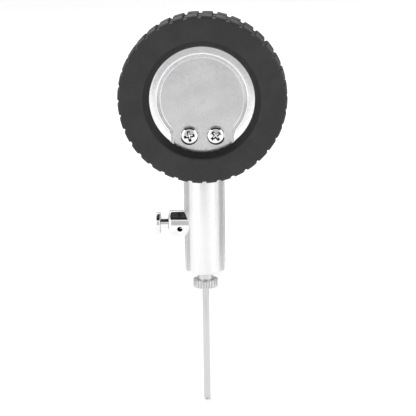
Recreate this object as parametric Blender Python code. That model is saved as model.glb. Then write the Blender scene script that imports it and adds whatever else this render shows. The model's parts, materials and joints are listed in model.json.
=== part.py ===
"""A pocket pressure gauge for sports balls.

A dial gauge sits in a rubber guard shaped like a tyre. Below it are a chrome stem, a push-button bleed valve
and a needle that screws in. +Z points up the stem, the dial faces -Y and the bleed valve points to +X. The
origin is on the needle's axis, at the collar's face that stops against the ball.
"""

import math

import bmesh
import bpy
from mathutils import Matrix, Vector
from mathutils.geometry import convex_hull_2d, tessellate_polygon

mm = 0.001

# General
CLEARANCE = 0.05 * mm  # between pieces that touch on the real object
BEARING_CLEARANCE = 0.05 * mm
ROUND_SIDES = 40
VALVE_SIDES = 24
SMALL_SIDES = 16
PIN_SIDES = 12

# Needle and collar
NEEDLE_RADIUS = 1.0 * mm
NEEDLE_BORE = 0.6 * mm
NEEDLE_LENGTH = 35.1 * mm
NEEDLE_TIP_HEIGHT = 0.9 * mm
NEEDLE_PORT_RADIUS = 0.4 * mm
NEEDLE_PORT_FROM_TIP = 3.6 * mm
COLLAR_RADIUS = 3.85 * mm
COLLAR_HEIGHT = 2.5 * mm
COLLAR_CHAMFER = 0.4 * mm
KNURL_RIBS = 30
KNURL_DEPTH = 0.25 * mm
NECK_RADIUS = 2.5 * mm
NECK_SHOWN = 2.1 * mm
NECK_IN_STEM = 4.9 * mm
NECK_BORE_SPARE = 1.0 * mm
O_RING_SECTION = 0.9 * mm
O_RING_SUNK = 0.54 * mm
UNSCREW_TRAVEL = 5.0 * mm

# Stem
STEM_RADIUS = 6.0 * mm
STEM_SHOWN = 27.5 * mm
STEM_CHAMFER = 0.5 * mm
STEM_PASSAGE_RADIUS = 1.5 * mm
SPIGOT_RADIUS = 3.5 * mm
SPIGOT_DEPTH = 7.3 * mm
SEAL_WIDTH = 0.85 * mm

# Bleed valve, along +X
VALVE_ABOVE_STEM_END = 14.6 * mm
VALVE_RADIUS = 4.0 * mm
VALVE_WALL = 1.1 * mm
VALVE_INNER_END = 2.1 * mm
VALVE_SHOWN = 4.6 * mm  # from the stem's side to the housing's end
VALVE_FILLET = 1.0 * mm
VALVE_END_WALL = 1.2 * mm
VENT_RADIUS = 0.78 * mm
VENT_FROM_END = 3.45 * mm
VENT_CLOCKING = math.radians(13.6)
SEAT_THICKNESS = 1.2 * mm
ORIFICE_RADIUS = 1.1 * mm
PLUNGER_RADIUS = 1.65 * mm
PLUNGER_GUIDE_GAP = 0.075 * mm
PLUNGER_SHOWN = 2.3 * mm
PLUNGER_FLANGE_GAP = 0.5 * mm  # between its flange and the housing's bore
PLUNGER_FLANGE_THICKNESS = 0.8 * mm
ROD_RADIUS = 0.7 * mm
TENON_RADIUS = 1.0 * mm
BUTTON_RADIUS = 3.4 * mm
BUTTON_THICKNESS = 1.35 * mm
BUTTON_EDGE = 0.35 * mm
POPPET_RADIUS = 2.1 * mm
POPPET_THICKNESS = 0.8 * mm
RETAINER_RADIUS = 1.9 * mm
RETAINER_THICKNESS = 0.6 * mm
SPRING_BORE_RADIUS = 2.3 * mm
SPRING_WIRE = 0.4 * mm
SPRING_RADIUS = 1.7 * mm
SPRING_TURNS = 4.5
SPRING_LENGTH = 4.0 * mm
SPRING_POCKET_GAP = 1.6 * mm

# Case, bezel and window
CASE_RADIUS = 19.0 * mm
CASE_WALL = 0.6 * mm
CASE_CORNER = 3.0 * mm
WINDOW_GAP = 0.7 * mm  # from the pointer to the case's open edge
RECESS_RADIUS = 11.8 * mm
RECESS_DEPTH = 1.3 * mm
BEAD_SLOPE = 1.5 * mm
BEAD_WIDTH = 0.9 * mm
BEAD_FALL = 0.2 * mm  # from the bead's crest to the rim of the case back
KEYHOLE_HALF_WIDTH = 8.45 * mm
GASKET_THICKNESS = 0.3 * mm
GASKET_WIDTH = 1.5 * mm
LENS_THICKNESS = 0.8 * mm
BEZEL_WALL = 0.55 * mm
BEZEL_OVERLAP = 0.9 * mm
BEZEL_LIP = 1.9 * mm
CASE_SCREW_SPACING = 7.6 * mm
CASE_SCREW_DROP = 10.4 * mm
CASE_SCREW_HEAD_RADIUS = 2.72 * mm
CASE_SCREW_HEAD_HEIGHT = 1.5 * mm
CASE_SCREW_CROWN_RADIUS = 2.04 * mm
CASE_SCREW_FLAT_RADIUS = 1.09 * mm
CASE_SCREW_CROWN_DROP = 0.15 * mm
CASE_SCREW_RADIUS = 1.4 * mm
CASE_SCREW_LENGTH = 2.7 * mm
CROSS_WIDTH = 0.6 * mm
CROSS_SPAN = 2.9 * mm
CROSS_DEPTH = 0.9 * mm

# Rubber guard
GUARD_WALL = 4.8 * mm
GUARD_FRONT_LIP = 0.75 * mm
GUARD_REAR_LIP = 2.3 * mm
GUARD_FRONT_OPENING = 17.0 * mm
GUARD_REAR_OPENING = 15.2 * mm
GUARD_LIP_SLOPE = 2.0 * mm
GUARD_LIP_LAND = 0.1 * mm
GUARD_SHOULDER = 1.2 * mm
GUARD_CROWN_DROP = 0.5 * mm
GROOVE_DEPTH = 0.8 * mm
GROOVE_WIDTH = 1.2 * mm
GROOVE_OFFSET = 3.0 * mm
NOTCH_COUNT = 36
NOTCH_WIDTH = 1.05 * mm
NOTCH_DEPTH = 0.75 * mm
NOTCH_PHASE = math.radians(91.0)

# Dial and pointer
DIAL_GAP = 0.2 * mm
DIAL_SPIGOT_GAP = 0.3 * mm
DIAL_THICKNESS = 0.4 * mm
DIAL_BORE = 1.2 * mm
DIAL_SCREW_HEAD_RADIUS = 1.0 * mm
DIAL_SCREW_RADIUS = 0.45 * mm
DIAL_SCREW_HEAD = 0.5 * mm
POINTER_GAP = 0.7 * mm
POINTER_THICKNESS = 0.3 * mm
POINTER_LENGTH = 13.2 * mm
POINTER_TAIL = 4.0 * mm
POINTER_DISC_RADIUS = 1.5 * mm
POINTER_ROOT_WIDTH = 1.2 * mm
POINTER_TIP_WIDTH = 0.4 * mm
POINTER_TAIL_WIDTH = 1.7 * mm
POINTER_REST = math.radians(225)
HUB_RADIUS = 1.6 * mm
HUB_BOSS_RADIUS = 0.75 * mm
HUB_HEIGHT = 0.5 * mm
HUB_CHAMFER_WIDTH = 0.3 * mm
HUB_CHAMFER_HEIGHT = 0.2 * mm
ARBOR_SHOWN = 0.15 * mm
STOP_SHOWN = 0.2 * mm
STOP_RADIUS = 0.3 * mm
STOP_DISTANCE = 8.0 * mm
STOP_LEAD = math.radians(8)

# Movement
MOVEMENT_FRONT = -2.3 * mm
MOVEMENT_REAR = 1.15 * mm
MOVEMENT_PLATE = 0.6 * mm
PILLAR_RADIUS = 1.1 * mm
PILLAR_NECK_RADIUS = 0.7 * mm
PILLAR_PLACE = (8.5 * mm, -3.0 * mm)
MOVEMENT_SCREW_SPACING = 3.2 * mm
MOVEMENT_SCREW_RADIUS = 0.55 * mm
MOVEMENT_SCREW_HEAD_RADIUS = 1.0 * mm
MOVEMENT_SCREW_HEAD = 0.5 * mm
MOVEMENT_SCREW_LENGTH = 1.9 * mm
BOSS_RADIUS = 2.0 * mm  # round each hole of the movement's plates
ARBOR_RADIUS = 0.4 * mm
POINTER_ARBOR_RADIUS = 0.35 * mm
PINION_TEETH = 10
SECTOR_FULL_TEETH = 90
GEAR_MODULE = 0.2 * mm
TOOTH_THICKNESS = 0.22 * mm
TOOTH_TIP_THICKNESS = 0.11 * mm
TOOTH_ROOT_THICKNESS = 0.3 * mm
TOOTH_HEIGHT = 0.17 * mm
TOOTH_ROOT = 0.26 * mm
PINION_FRONT = -1.2 * mm
PINION_REAR = 0.4 * mm
SECTOR_FRONT = -0.6 * mm
SECTOR_THICKNESS = 0.6 * mm
SECTOR_DIRECTION = math.atan2(-0.8, 0.6)  # from the pointer's axis to the sector's axis
SECTOR_TEETH_BEFORE = 9
SECTOR_TEETH_AFTER = 1
SECTOR_EDGE = 0.7  # tooth pitches from the last tooth's middle to the sector's side
SECTOR_HUB_RADIUS = 1.6 * mm
SECTOR_BORE = 0.5 * mm
SECTOR_SHOULDER = 0.3 * mm
TAIL_LENGTH = 4.2 * mm
TAIL_DIRECTION = math.radians(-40)
TAIL_END_RADIUS = 0.9 * mm
LINK_PIN_RADIUS = 0.35 * mm
LINK_PIN_HEAD_RADIUS = 0.6 * mm
LINK_PIN_SUNK = 0.5 * mm
LINK_FRONT = 0.15 * mm
LINK_THICKNESS = 0.5 * mm
LINK_END_RADIUS = 1.2 * mm
LINK_TIP_END_RADIUS = 0.9 * mm
LINK_FREE_PLAY = 0.4 * mm  # round the sector's pin
COLLET_RADIUS = 0.85 * mm
COLLET_FRONT = -2.1 * mm
COLLET_LENGTH = 0.5 * mm
HAIRSPRING_TURNS = 3
HAIRSPRING_PITCH = 0.7 * mm
HAIRSPRING_THICKNESS = 0.1 * mm
HAIRSPRING_WIDTH = 0.3 * mm
HAIRSPRING_END = math.radians(225)
STUD_RADIUS = 0.3 * mm

# Bourdon tube and the socket that carries it
TUBE_WIDTH = 5.0 * mm
TUBE_THICKNESS = 1.6 * mm
TUBE_WALL = 0.25 * mm
TUBE_FRONT = -1.1 * mm
TUBE_CASE_GAP = 3.1 * mm
TUBE_ROOT = math.radians(-114)
TUBE_IN_SOCKET = math.radians(6)
TUBE_END = math.radians(-25)
TIP_ARC = math.radians(10)
TIP_CAP_ARC = math.radians(2)
TIP_PIN_ARC = math.radians(6)
TIP_MARGIN = 0.3 * mm
TIP_SWING_RADIUS = 18.0 * mm
SOCKET_HALF_WIDTH = 6.0 * mm
SOCKET_FRONT = -2.2 * mm
SOCKET_STEP = 1.8 * mm
SOCKET_COVER = 0.7 * mm  # behind the spigot
SOCKET_TOP = -7.0 * mm
SOCKET_CASE_GAP = 0.35 * mm
PLATE_SOCKET_GAP = 0.8 * mm
SOCKET_BORE_RADIUS = 1.0 * mm
POCKET_MARGIN = 0.5 * mm
POCKET_OPENING = math.radians(6.6)
CROSS_BORE_FROM_FRONT = 1.5 * mm

# Worked out from the sizes above
STEM_BOTTOM = COLLAR_HEIGHT + NECK_SHOWN
NECK_TOP = STEM_BOTTOM + NECK_IN_STEM
NECK_BORE_TOP = NECK_TOP + NECK_BORE_SPARE
VALVE_HEIGHT = STEM_BOTTOM + VALVE_ABOVE_STEM_END
VALVE_END = STEM_RADIUS + VALVE_SHOWN
PLUNGER_END = VALVE_END + PLUNGER_SHOWN
PLUNGER_FLANGE_RADIUS = VALVE_RADIUS - VALVE_WALL - PLUNGER_FLANGE_GAP
CAVITY_RADIUS = CASE_RADIUS + BEZEL_WALL + 3 * CLEARANCE
GUARD_RADIUS = CAVITY_RADIUS + GUARD_WALL
HEAD_HEIGHT = STEM_BOTTOM + STEM_SHOWN + GUARD_RADIUS
HEAD = Vector((0, 0, HEAD_HEIGHT))
STEM_TOP = HEAD_HEIGHT - CAVITY_RADIUS - CLEARANCE
CASE_INNER = CASE_RADIUS - CASE_WALL
DIAL_REAR = -(SPIGOT_RADIUS + DIAL_SPIGOT_GAP)
POINTER_REAR = DIAL_REAR - DIAL_THICKNESS - POINTER_GAP
CASE_FRONT = POINTER_REAR - POINTER_THICKNESS - WINDOW_GAP
SOCKET_REAR = SPIGOT_RADIUS + SOCKET_COVER
CASE_FLOOR = SOCKET_REAR + 2 * CLEARANCE
RECESS_LEVEL = CASE_FLOOR + CASE_WALL
CREST_LEVEL = RECESS_LEVEL + RECESS_DEPTH
LENS_REAR = CASE_FRONT - GASKET_THICKNESS - 2 * CLEARANCE
LENS_FRONT = LENS_REAR - LENS_THICKNESS
BEZEL_FRONT = LENS_FRONT - CLEARANCE - BEZEL_WALL
GUARD_FRONT = BEZEL_FRONT - CLEARANCE - GUARD_FRONT_LIP
GUARD_REAR = CREST_LEVEL + GUARD_REAR_LIP
PINION_PITCH = GEAR_MODULE * PINION_TEETH / 2
SECTOR_PITCH = GEAR_MODULE * SECTOR_FULL_TEETH / 2
BOURDON_RADIUS = CASE_INNER - TUBE_CASE_GAP - TUBE_THICKNESS / 2
TUBE_REAR = TUBE_FRONT + TUBE_WIDTH
SOCKET_LEDGE = BOURDON_RADIUS * math.sin(TUBE_ROOT) + TUBE_THICKNESS / 2 + POCKET_MARGIN
SOCKET_BOTTOM = -math.sqrt((CASE_INNER - SOCKET_CASE_GAP) ** 2 - SOCKET_HALF_WIDTH**2)
MOVEMENT_SCREW_HEIGHT = SOCKET_LEDGE + BOSS_RADIUS + PLATE_SOCKET_GAP


def on_circle(radius, angle, centre=(0.0, 0.0)):
    """The point at this angle of a circle, in the plane of the dial or in a profile's plane."""
    return centre[0] + radius * math.cos(angle), centre[1] + radius * math.sin(angle)


def arc(radius, start, end, steps, centre=(0.0, 0.0)):
    """Points along an arc, both ends included; the angles are in degrees."""
    return [
        on_circle(radius, math.radians(start + (end - start) * step / steps), centre)
        for step in range(steps + 1)
    ]


def circle(radius, centre=(0.0, 0.0), sides=SMALL_SIDES):
    return [on_circle(radius, 2 * math.pi * side / sides, centre) for side in range(sides)]


def hull(bosses):
    """The outline round a list of (centre, radius) discs."""
    points = [point for centre, radius in bosses for point in circle(radius, centre)]
    return [points[index] for index in convex_hull_2d(points)]


SECTOR_AXIS = on_circle(PINION_PITCH + SECTOR_PITCH, SECTOR_DIRECTION)
TAIL_PIN = on_circle(TAIL_LENGTH, TAIL_DIRECTION, SECTOR_AXIS)
TIP_PIN = on_circle(BOURDON_RADIUS, TUBE_END - TIP_PIN_ARC)
PILLARS = {"left": (-PILLAR_PLACE[0], PILLAR_PLACE[1]), "right": PILLAR_PLACE}
MOVEMENT_SCREWS = {
    "left": (-MOVEMENT_SCREW_SPACING / 2, MOVEMENT_SCREW_HEIGHT),
    "right": (MOVEMENT_SCREW_SPACING / 2, MOVEMENT_SCREW_HEIGHT),
}
CASE_SCREWS = {
    "left": (-CASE_SCREW_SPACING / 2, -CASE_SCREW_DROP),
    "right": (CASE_SCREW_SPACING / 2, -CASE_SCREW_DROP),
}
HAIRSPRING_INNER = COLLET_RADIUS + CLEARANCE + HAIRSPRING_THICKNESS / 2
HAIRSPRING_OUTER = HAIRSPRING_INNER + HAIRSPRING_TURNS * HAIRSPRING_PITCH


def clear_scene():
    for leftover in list(bpy.data.objects):
        bpy.data.objects.remove(leftover)


def finish(name, colour, roughness, metallic=0.0, transmission=0.0):
    """A material with one Principled shader."""
    material = bpy.data.materials.new(name)
    material.use_nodes = True
    shader = material.node_tree.nodes["Principled BSDF"]
    shader.inputs["Base Color"].default_value = (*colour, 1.0)
    shader.inputs["Roughness"].default_value = roughness
    shader.inputs["Metallic"].default_value = metallic
    shader.inputs["Transmission Weight"].default_value = transmission
    return material


def place(name, builder, material, at, axis="Z"):
    """Turns a bmesh into a named object. The mesh's own Z becomes the axis given."""
    bmesh.ops.recalc_face_normals(builder, faces=builder.faces)
    mesh = bpy.data.meshes.new(name)
    builder.to_mesh(mesh)
    builder.free()
    mesh.shade_smooth()
    mesh.set_sharp_from_angle(angle=math.radians(30))
    if material:
        mesh.materials.append(material)
    piece = bpy.data.objects.new(name, mesh)
    piece.location = at
    turns = {"Z": (0, 0, 0), "Y": (-math.pi / 2, 0, 0), "X": (0, math.pi / 2, 0)}
    piece.rotation_euler = turns[axis]
    bpy.context.scene.collection.objects.link(piece)
    return piece


def turned_by_station(name, angles, outline_at, material, at=(0, 0, 0), axis="Z"):
    """A solid of revolution whose closed outline of (radius, height) points may change with the angle."""
    builder = bmesh.new()
    poles = {}
    rows = []
    for angle in angles:
        row = []
        for index, (radius, height) in enumerate(outline_at(angle)):
            if radius == 0:
                if index not in poles:
                    poles[index] = builder.verts.new((0, 0, height))
                row.append(poles[index])
            else:
                row.append(builder.verts.new((*on_circle(radius, angle), height)))
        rows.append(row)
    for row, following in zip(rows, rows[1:] + rows[:1]):
        for index in range(len(row)):
            corners = [row[index - 1], row[index], following[index], following[index - 1]]
            corners = list(dict.fromkeys(corners))
            if len(corners) > 2:
                builder.faces.new(corners)
    return place(name, builder, material, at, axis)


def turned(name, outline, material, at=(0, 0, 0), axis="Z", sides=ROUND_SIDES):
    angles = [2 * math.pi * side / sides for side in range(sides)]
    return turned_by_station(name, angles, lambda angle: outline, material, at, axis)


def plate(name, loops, front, rear, material, at=HEAD):
    """A flat piece from y = front to y = rear. Its loops of (x, z) points are the outline, then any holes."""
    builder = bmesh.new()
    layers = [
        [[builder.verts.new((x, y, z)) for x, z in loop] for loop in loops]
        for y in (front, rear)
    ]
    for near, far in zip(*layers):
        for index in range(len(near)):
            builder.faces.new((near[index - 1], near[index], far[index], far[index - 1]))
    # The tessellator's tolerance suits millimetres, not metres.
    flat = [[Vector((x / mm, z / mm, 0)) for x, z in loop] for loop in loops]
    for layer in layers:
        verts = [vert for loop in layer for vert in loop]
        for triangle in tessellate_polygon(flat):
            builder.faces.new([verts[index] for index in triangle])
    return place(name, builder, material, at)


def box(name, low, high, material=None, at=(0, 0, 0)):
    rectangle = [(low[0], low[2]), (high[0], low[2]), (high[0], high[2]), (low[0], high[2])]
    return plate(name, [rectangle], low[1], high[1], material, at)


def swept_arc(name, loops, start, end, steps, material, at=HEAD):
    """Loops of (radius, y) points swept about the dial's axis; a second loop is a hollow of as many points."""
    builder = bmesh.new()
    stations = []
    for step in range(steps + 1):
        angle = start + (end - start) * step / steps
        station = []
        for loop in loops:
            ring = []
            for radius, y in loop:
                x, z = on_circle(radius, angle)
                ring.append(builder.verts.new((x, y, z)))
            station.append(ring)
        stations.append(station)
    for station, following in zip(stations, stations[1:]):
        for ring, following_ring in zip(station, following):
            for i in range(len(ring)):
                builder.faces.new((ring[i - 1], ring[i], following_ring[i], following_ring[i - 1]))
    for station in (stations[0], stations[-1]):
        if len(loops) == 1:
            builder.faces.new(station[0])
            continue
        outer, inner = station
        for i in range(len(outer)):
            builder.faces.new((outer[i - 1], outer[i], inner[i], inner[i - 1]))
    return place(name, builder, material, at)


def wire(name, points, radius, material, at):
    """A round wire along a list of points."""
    curve = bpy.data.curves.new(name, "CURVE")
    curve.dimensions = "3D"
    curve.bevel_depth = radius
    curve.bevel_resolution = 1
    curve.use_fill_caps = True
    spline = curve.splines.new("POLY")
    spline.points.add(len(points) - 1)
    for point, place_of in zip(spline.points, points):
        point.co = (*place_of, 1.0)
    curve.materials.append(material)
    piece = bpy.data.objects.new(name, curve)
    piece.location = at
    bpy.context.scene.collection.objects.link(piece)
    return piece


def combine(piece, tool, operation):
    """Adds or removes a helper shape with a Boolean modifier, and hides the helper from renders."""
    tool.hide_render = True
    tool.display_type = "WIRE"
    modifier = piece.modifiers.new(tool.name, "BOOLEAN")
    modifier.operation = operation
    modifier.solver = "EXACT"
    modifier.object = tool


def cut(piece, tool):
    combine(piece, tool, "DIFFERENCE")


def join(piece, tool):
    combine(piece, tool, "UNION")


def rod(name, radius, low, high, at=(0, 0, 0), axis="Z", sides=SMALL_SIDES):
    """A plain round helper, for drilling or for adding."""
    outline = [(0, low), (radius, low), (radius, high), (0, high)]
    return turned(name, outline, None, at, axis, sides)


def on_dial(spot):
    """A spot (x, z) measured from the dial's axis, in the scene."""
    return HEAD + Vector((spot[0], 0, spot[1]))


def drill(piece, name, spot, radius, front, rear):
    cut(piece, rod(name, radius, front, rear, on_dial(spot), "Y"))


def ride(name, pieces, at):
    """Parents the pieces of one moving body to an empty on its joint's axis."""
    axle = bpy.data.objects.new(name, None)
    axle.location = at
    axle.empty_display_size = 3 * mm
    bpy.context.scene.collection.objects.link(axle)
    for piece in pieces:
        piece.parent = axle
        piece.matrix_parent_inverse = Matrix.Translation(-Vector(at))


def needle(brass, steel, rubber):
    outer = [(0, -NEEDLE_LENGTH)]
    for angle in (60, 30, 0):
        turn = math.radians(angle)
        outer.append(
            (NEEDLE_RADIUS * math.cos(turn), -NEEDLE_LENGTH + NEEDLE_TIP_HEIGHT * (1 - math.sin(turn)))
        )
    inner_end = -NEEDLE_LENGTH + 2 * NEEDLE_TIP_HEIGHT
    outline = outer + [
        (NEEDLE_RADIUS, NECK_TOP),
        (NEEDLE_BORE, NECK_TOP),
        (NEEDLE_BORE, inner_end),
        (0, inner_end - NEEDLE_BORE / 2),
    ]
    tube = turned("needle_tube", outline, steel, sides=SMALL_SIDES)
    port_height = -NEEDLE_LENGTH + NEEDLE_PORT_FROM_TIP
    port = rod(
        "needle_port",
        NEEDLE_PORT_RADIUS,
        -2 * NEEDLE_RADIUS,
        2 * NEEDLE_RADIUS,
        (0, 0, port_height),
        "X",
        PIN_SIDES,
    )
    cut(tube, port)

    bore = NEEDLE_RADIUS + CLEARANCE
    groove_low = NECK_TOP - 2 * O_RING_SECTION
    groove_high = groove_low + O_RING_SECTION
    groove_radius = NECK_RADIUS - O_RING_SUNK

    def collar_outline(angle):
        rib = round(angle / math.pi * KNURL_RIBS) % 2
        radius = COLLAR_RADIUS - rib * KNURL_DEPTH
        chamfered = COLLAR_RADIUS - COLLAR_CHAMFER
        return [
            (bore, 0),
            (chamfered, 0),
            (radius, COLLAR_CHAMFER),
            (radius, COLLAR_HEIGHT - COLLAR_CHAMFER),
            (chamfered, COLLAR_HEIGHT),
            (NECK_RADIUS, COLLAR_HEIGHT),
            (NECK_RADIUS, groove_low),
            (groove_radius, groove_low),
            (groove_radius, groove_high),
            (NECK_RADIUS, groove_high),
            (NECK_RADIUS, NECK_TOP),
            (bore, NECK_TOP),
        ]

    angles = [math.pi * side / KNURL_RIBS for side in range(2 * KNURL_RIBS)]
    collar = turned_by_station("needle_collar", angles, collar_outline, brass)

    ring_inner = groove_radius + CLEARANCE
    ring_outer = NECK_RADIUS + CLEARANCE / 2
    middle = (groove_low + groove_high) / 2
    half_width = (ring_outer - ring_inner) / 2
    half_height = O_RING_SECTION / 2 - CLEARANCE
    ring_outline = [
        (
            (ring_inner + ring_outer) / 2 + half_width * math.cos(math.pi * corner / 3),
            middle + half_height * math.sin(math.pi * corner / 3),
        )
        for corner in range(6)
    ]
    o_ring = turned("needle_o_ring", ring_outline, rubber, sides=SMALL_SIDES)
    ride("needle_thread_axis", [tube, collar], (0, 0, 0))
    ride("needle_travel_axis", [o_ring], (0, 0, 0))


def stem(chrome, rubber):
    bottom_bore = NECK_RADIUS + 2 * CLEARANCE
    spigot_bore = SPIGOT_RADIUS + 2 * CLEARANCE
    spigot_floor = STEM_TOP - SPIGOT_DEPTH
    outline = [
        (bottom_bore, STEM_BOTTOM),
        (STEM_RADIUS - STEM_CHAMFER, STEM_BOTTOM),
        (STEM_RADIUS, STEM_BOTTOM + STEM_CHAMFER),
        (STEM_RADIUS, STEM_TOP),
        (spigot_bore, STEM_TOP),
        (spigot_bore, spigot_floor),
        (STEM_PASSAGE_RADIUS, spigot_floor),
        (STEM_PASSAGE_RADIUS, NECK_BORE_TOP),
        (bottom_bore, NECK_BORE_TOP),
    ]
    body = turned("stem_body", outline, chrome)
    seat = VALVE_INNER_END - 2 * CLEARANCE
    socket = [
        (0, seat - SPRING_LENGTH - SPRING_POCKET_GAP),
        (SPRING_BORE_RADIUS, seat - SPRING_LENGTH - SPRING_POCKET_GAP),
        (SPRING_BORE_RADIUS, seat),
        (VALVE_RADIUS + CLEARANCE, seat),
        (VALVE_RADIUS + CLEARANCE, 1.5 * STEM_RADIUS),
        (0, 1.5 * STEM_RADIUS),
    ]
    cut(body, turned("valve_socket", socket, None, (0, 0, VALVE_HEIGHT), "X", VALVE_SIDES))

    seal_inner = SPIGOT_RADIUS + CLEARANCE
    seal_low = STEM_TOP + CLEARANCE
    seal_high = HEAD_HEIGHT - CASE_RADIUS - 2 * CLEARANCE
    seal_outline = [
        (seal_inner, seal_low),
        (seal_inner + SEAL_WIDTH, seal_low),
        (seal_inner + SEAL_WIDTH, seal_high),
        (seal_inner, seal_high),
    ]
    turned("stem_seal", seal_outline, rubber, sides=VALVE_SIDES)


def bleed_valve(chrome, brass, rubber, steel):
    at = (0, 0, VALVE_HEIGHT)
    bore = VALVE_RADIUS - VALVE_WALL
    guide = PLUNGER_RADIUS + PLUNGER_GUIDE_GAP
    fillet = arc(VALVE_FILLET, 0, 90, 4, (VALVE_RADIUS - VALVE_FILLET, VALVE_END - VALVE_FILLET))
    outline = [
        (bore, VALVE_INNER_END),
        (VALVE_RADIUS, VALVE_INNER_END),
        *fillet,
        (guide, VALVE_END),
        (guide, VALVE_END - VALVE_END_WALL),
        (bore, VALVE_END - VALVE_END_WALL),
    ]
    housing = turned("bleed_valve_body", outline, chrome, at, "X", VALVE_SIDES)
    vent_at = (VALVE_END - VENT_FROM_END, 0, VALVE_HEIGHT)
    vent = rod("vent", VENT_RADIUS, bore / 2, 1.5 * VALVE_RADIUS, vent_at, "Y", SMALL_SIDES)
    vent.rotation_euler = (-math.pi / 2 - VENT_CLOCKING, 0, 0)
    cut(housing, vent)

    seat_face = VALVE_INNER_END + 2 * CLEARANCE
    insert = [
        (ORIFICE_RADIUS, seat_face),
        (bore - CLEARANCE, seat_face),
        (bore - CLEARANCE, seat_face + SEAT_THICKNESS),
        (ORIFICE_RADIUS, seat_face + SEAT_THICKNESS),
    ]
    turned("bleed_seat_insert", insert, brass, at, "X", VALVE_SIDES)

    flange_end = VALVE_END - VALVE_END_WALL - 2 * CLEARANCE
    flange_start = flange_end - PLUNGER_FLANGE_THICKNESS
    poppet_end = seat_face - CLEARANCE / 2
    poppet_start = poppet_end - POPPET_THICKNESS
    retainer_end = poppet_start - CLEARANCE
    retainer_start = retainer_end - RETAINER_THICKNESS
    rod_end = retainer_start - 2 * CLEARANCE
    tenon_end = PLUNGER_END + BUTTON_THICKNESS + CLEARANCE
    plunger_outline = [
        (0, rod_end),
        (ROD_RADIUS, rod_end),
        (ROD_RADIUS, flange_start),
        (PLUNGER_FLANGE_RADIUS, flange_start),
        (PLUNGER_FLANGE_RADIUS, flange_end),
        (PLUNGER_RADIUS, flange_end),
        (PLUNGER_RADIUS, PLUNGER_END - CLEARANCE),
        (TENON_RADIUS, PLUNGER_END - CLEARANCE),
        (TENON_RADIUS, tenon_end),
        (0, tenon_end),
    ]
    plunger = turned("bleed_plunger", plunger_outline, chrome, at, "X", VALVE_SIDES)

    button_hole = TENON_RADIUS + CLEARANCE
    button_end = PLUNGER_END + BUTTON_THICKNESS
    button_outline = [
        (button_hole, PLUNGER_END),
        (BUTTON_RADIUS - BUTTON_EDGE, PLUNGER_END),
        (BUTTON_RADIUS, PLUNGER_END + BUTTON_EDGE),
        (BUTTON_RADIUS, button_end - BUTTON_EDGE),
        (BUTTON_RADIUS - BUTTON_EDGE, button_end),
        (button_hole, button_end),
    ]
    button = turned("bleed_button", button_outline, chrome, at, "X", VALVE_SIDES)

    washer_hole = ROD_RADIUS + CLEARANCE
    washers = []
    for name, radius, start, end, material in (
        ("bleed_poppet_seal", POPPET_RADIUS, poppet_start, poppet_end, rubber),
        ("bleed_poppet_retainer", RETAINER_RADIUS, retainer_start, retainer_end, brass),
    ):
        washer = [(washer_hole, start), (radius, start), (radius, end), (washer_hole, end)]
        washers.append(turned(name, washer, material, at, "X", VALVE_SIDES))
    ride("bleed_axis", [plunger, button, *washers], at)

    spring_high = retainer_start - CLEARANCE - SPRING_WIRE / 2
    steps = round(SPRING_TURNS * 9)
    coil = []
    for step in range(steps + 1):
        y, z = on_circle(SPRING_RADIUS, 2 * math.pi * SPRING_TURNS * step / steps)
        coil.append((spring_high - (SPRING_LENGTH - SPRING_WIRE) * step / steps, y, z))
    wire("bleed_spring", coil, SPRING_WIRE / 2, steel, at)


def case_profile(inset):
    """The case's outside, from its open edge over the corner to the middle of its back, moved inwards."""
    corner_centre = (CASE_RADIUS - CASE_CORNER, CREST_LEVEL - BEAD_FALL - CASE_CORNER)
    crest_start = RECESS_RADIUS + BEAD_SLOPE - inset / 2
    return [
        (CASE_RADIUS - inset, CASE_FRONT),
        *arc(CASE_CORNER - inset, 0, 90, 4, corner_centre),
        (crest_start + BEAD_WIDTH, CREST_LEVEL - inset),
        (crest_start, CREST_LEVEL - inset),
        (RECESS_RADIUS - inset / 2, RECESS_LEVEL - inset),
        (0, RECESS_LEVEL - inset),
    ]


def gauge_case(steel):
    case = turned("gauge_case", [*case_profile(0), (0, CASE_FRONT)], steel, HEAD, "Y")
    hollow_outline = case_profile(CASE_WALL)
    hollow_outline[0] = (CASE_INNER, CASE_FRONT - CASE_CORNER)
    hollow = turned(
        "case_hollow", [*hollow_outline, (0, CASE_FRONT - CASE_CORNER)], None, HEAD, "Y"
    )
    reach = 1.5 * CASE_RADIUS
    for name, piece, spread in (("keyhole", case, 0.0), ("keyhole_inside", hollow, CASE_WALL)):
        half_width = KEYHOLE_HALF_WIDTH + spread
        low = (-half_width, RECESS_LEVEL - spread, -reach)
        high = (half_width, 2 * CREST_LEVEL, -RECESS_RADIUS / 2)
        cut(piece, box(name, low, high, at=HEAD))
    cut(case, hollow)
    spigot_bore = SPIGOT_RADIUS + 2 * CLEARANCE
    cut(case, rod("case_spigot_hole", spigot_bore, -reach, -RECESS_RADIUS, HEAD, "Z", VALVE_SIDES))
    for side, spot in CASE_SCREWS.items():
        hole = CASE_SCREW_RADIUS + 2 * CLEARANCE
        drill(case, f"case_hole_{side}", spot, hole, 0, 2 * CREST_LEVEL)


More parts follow.
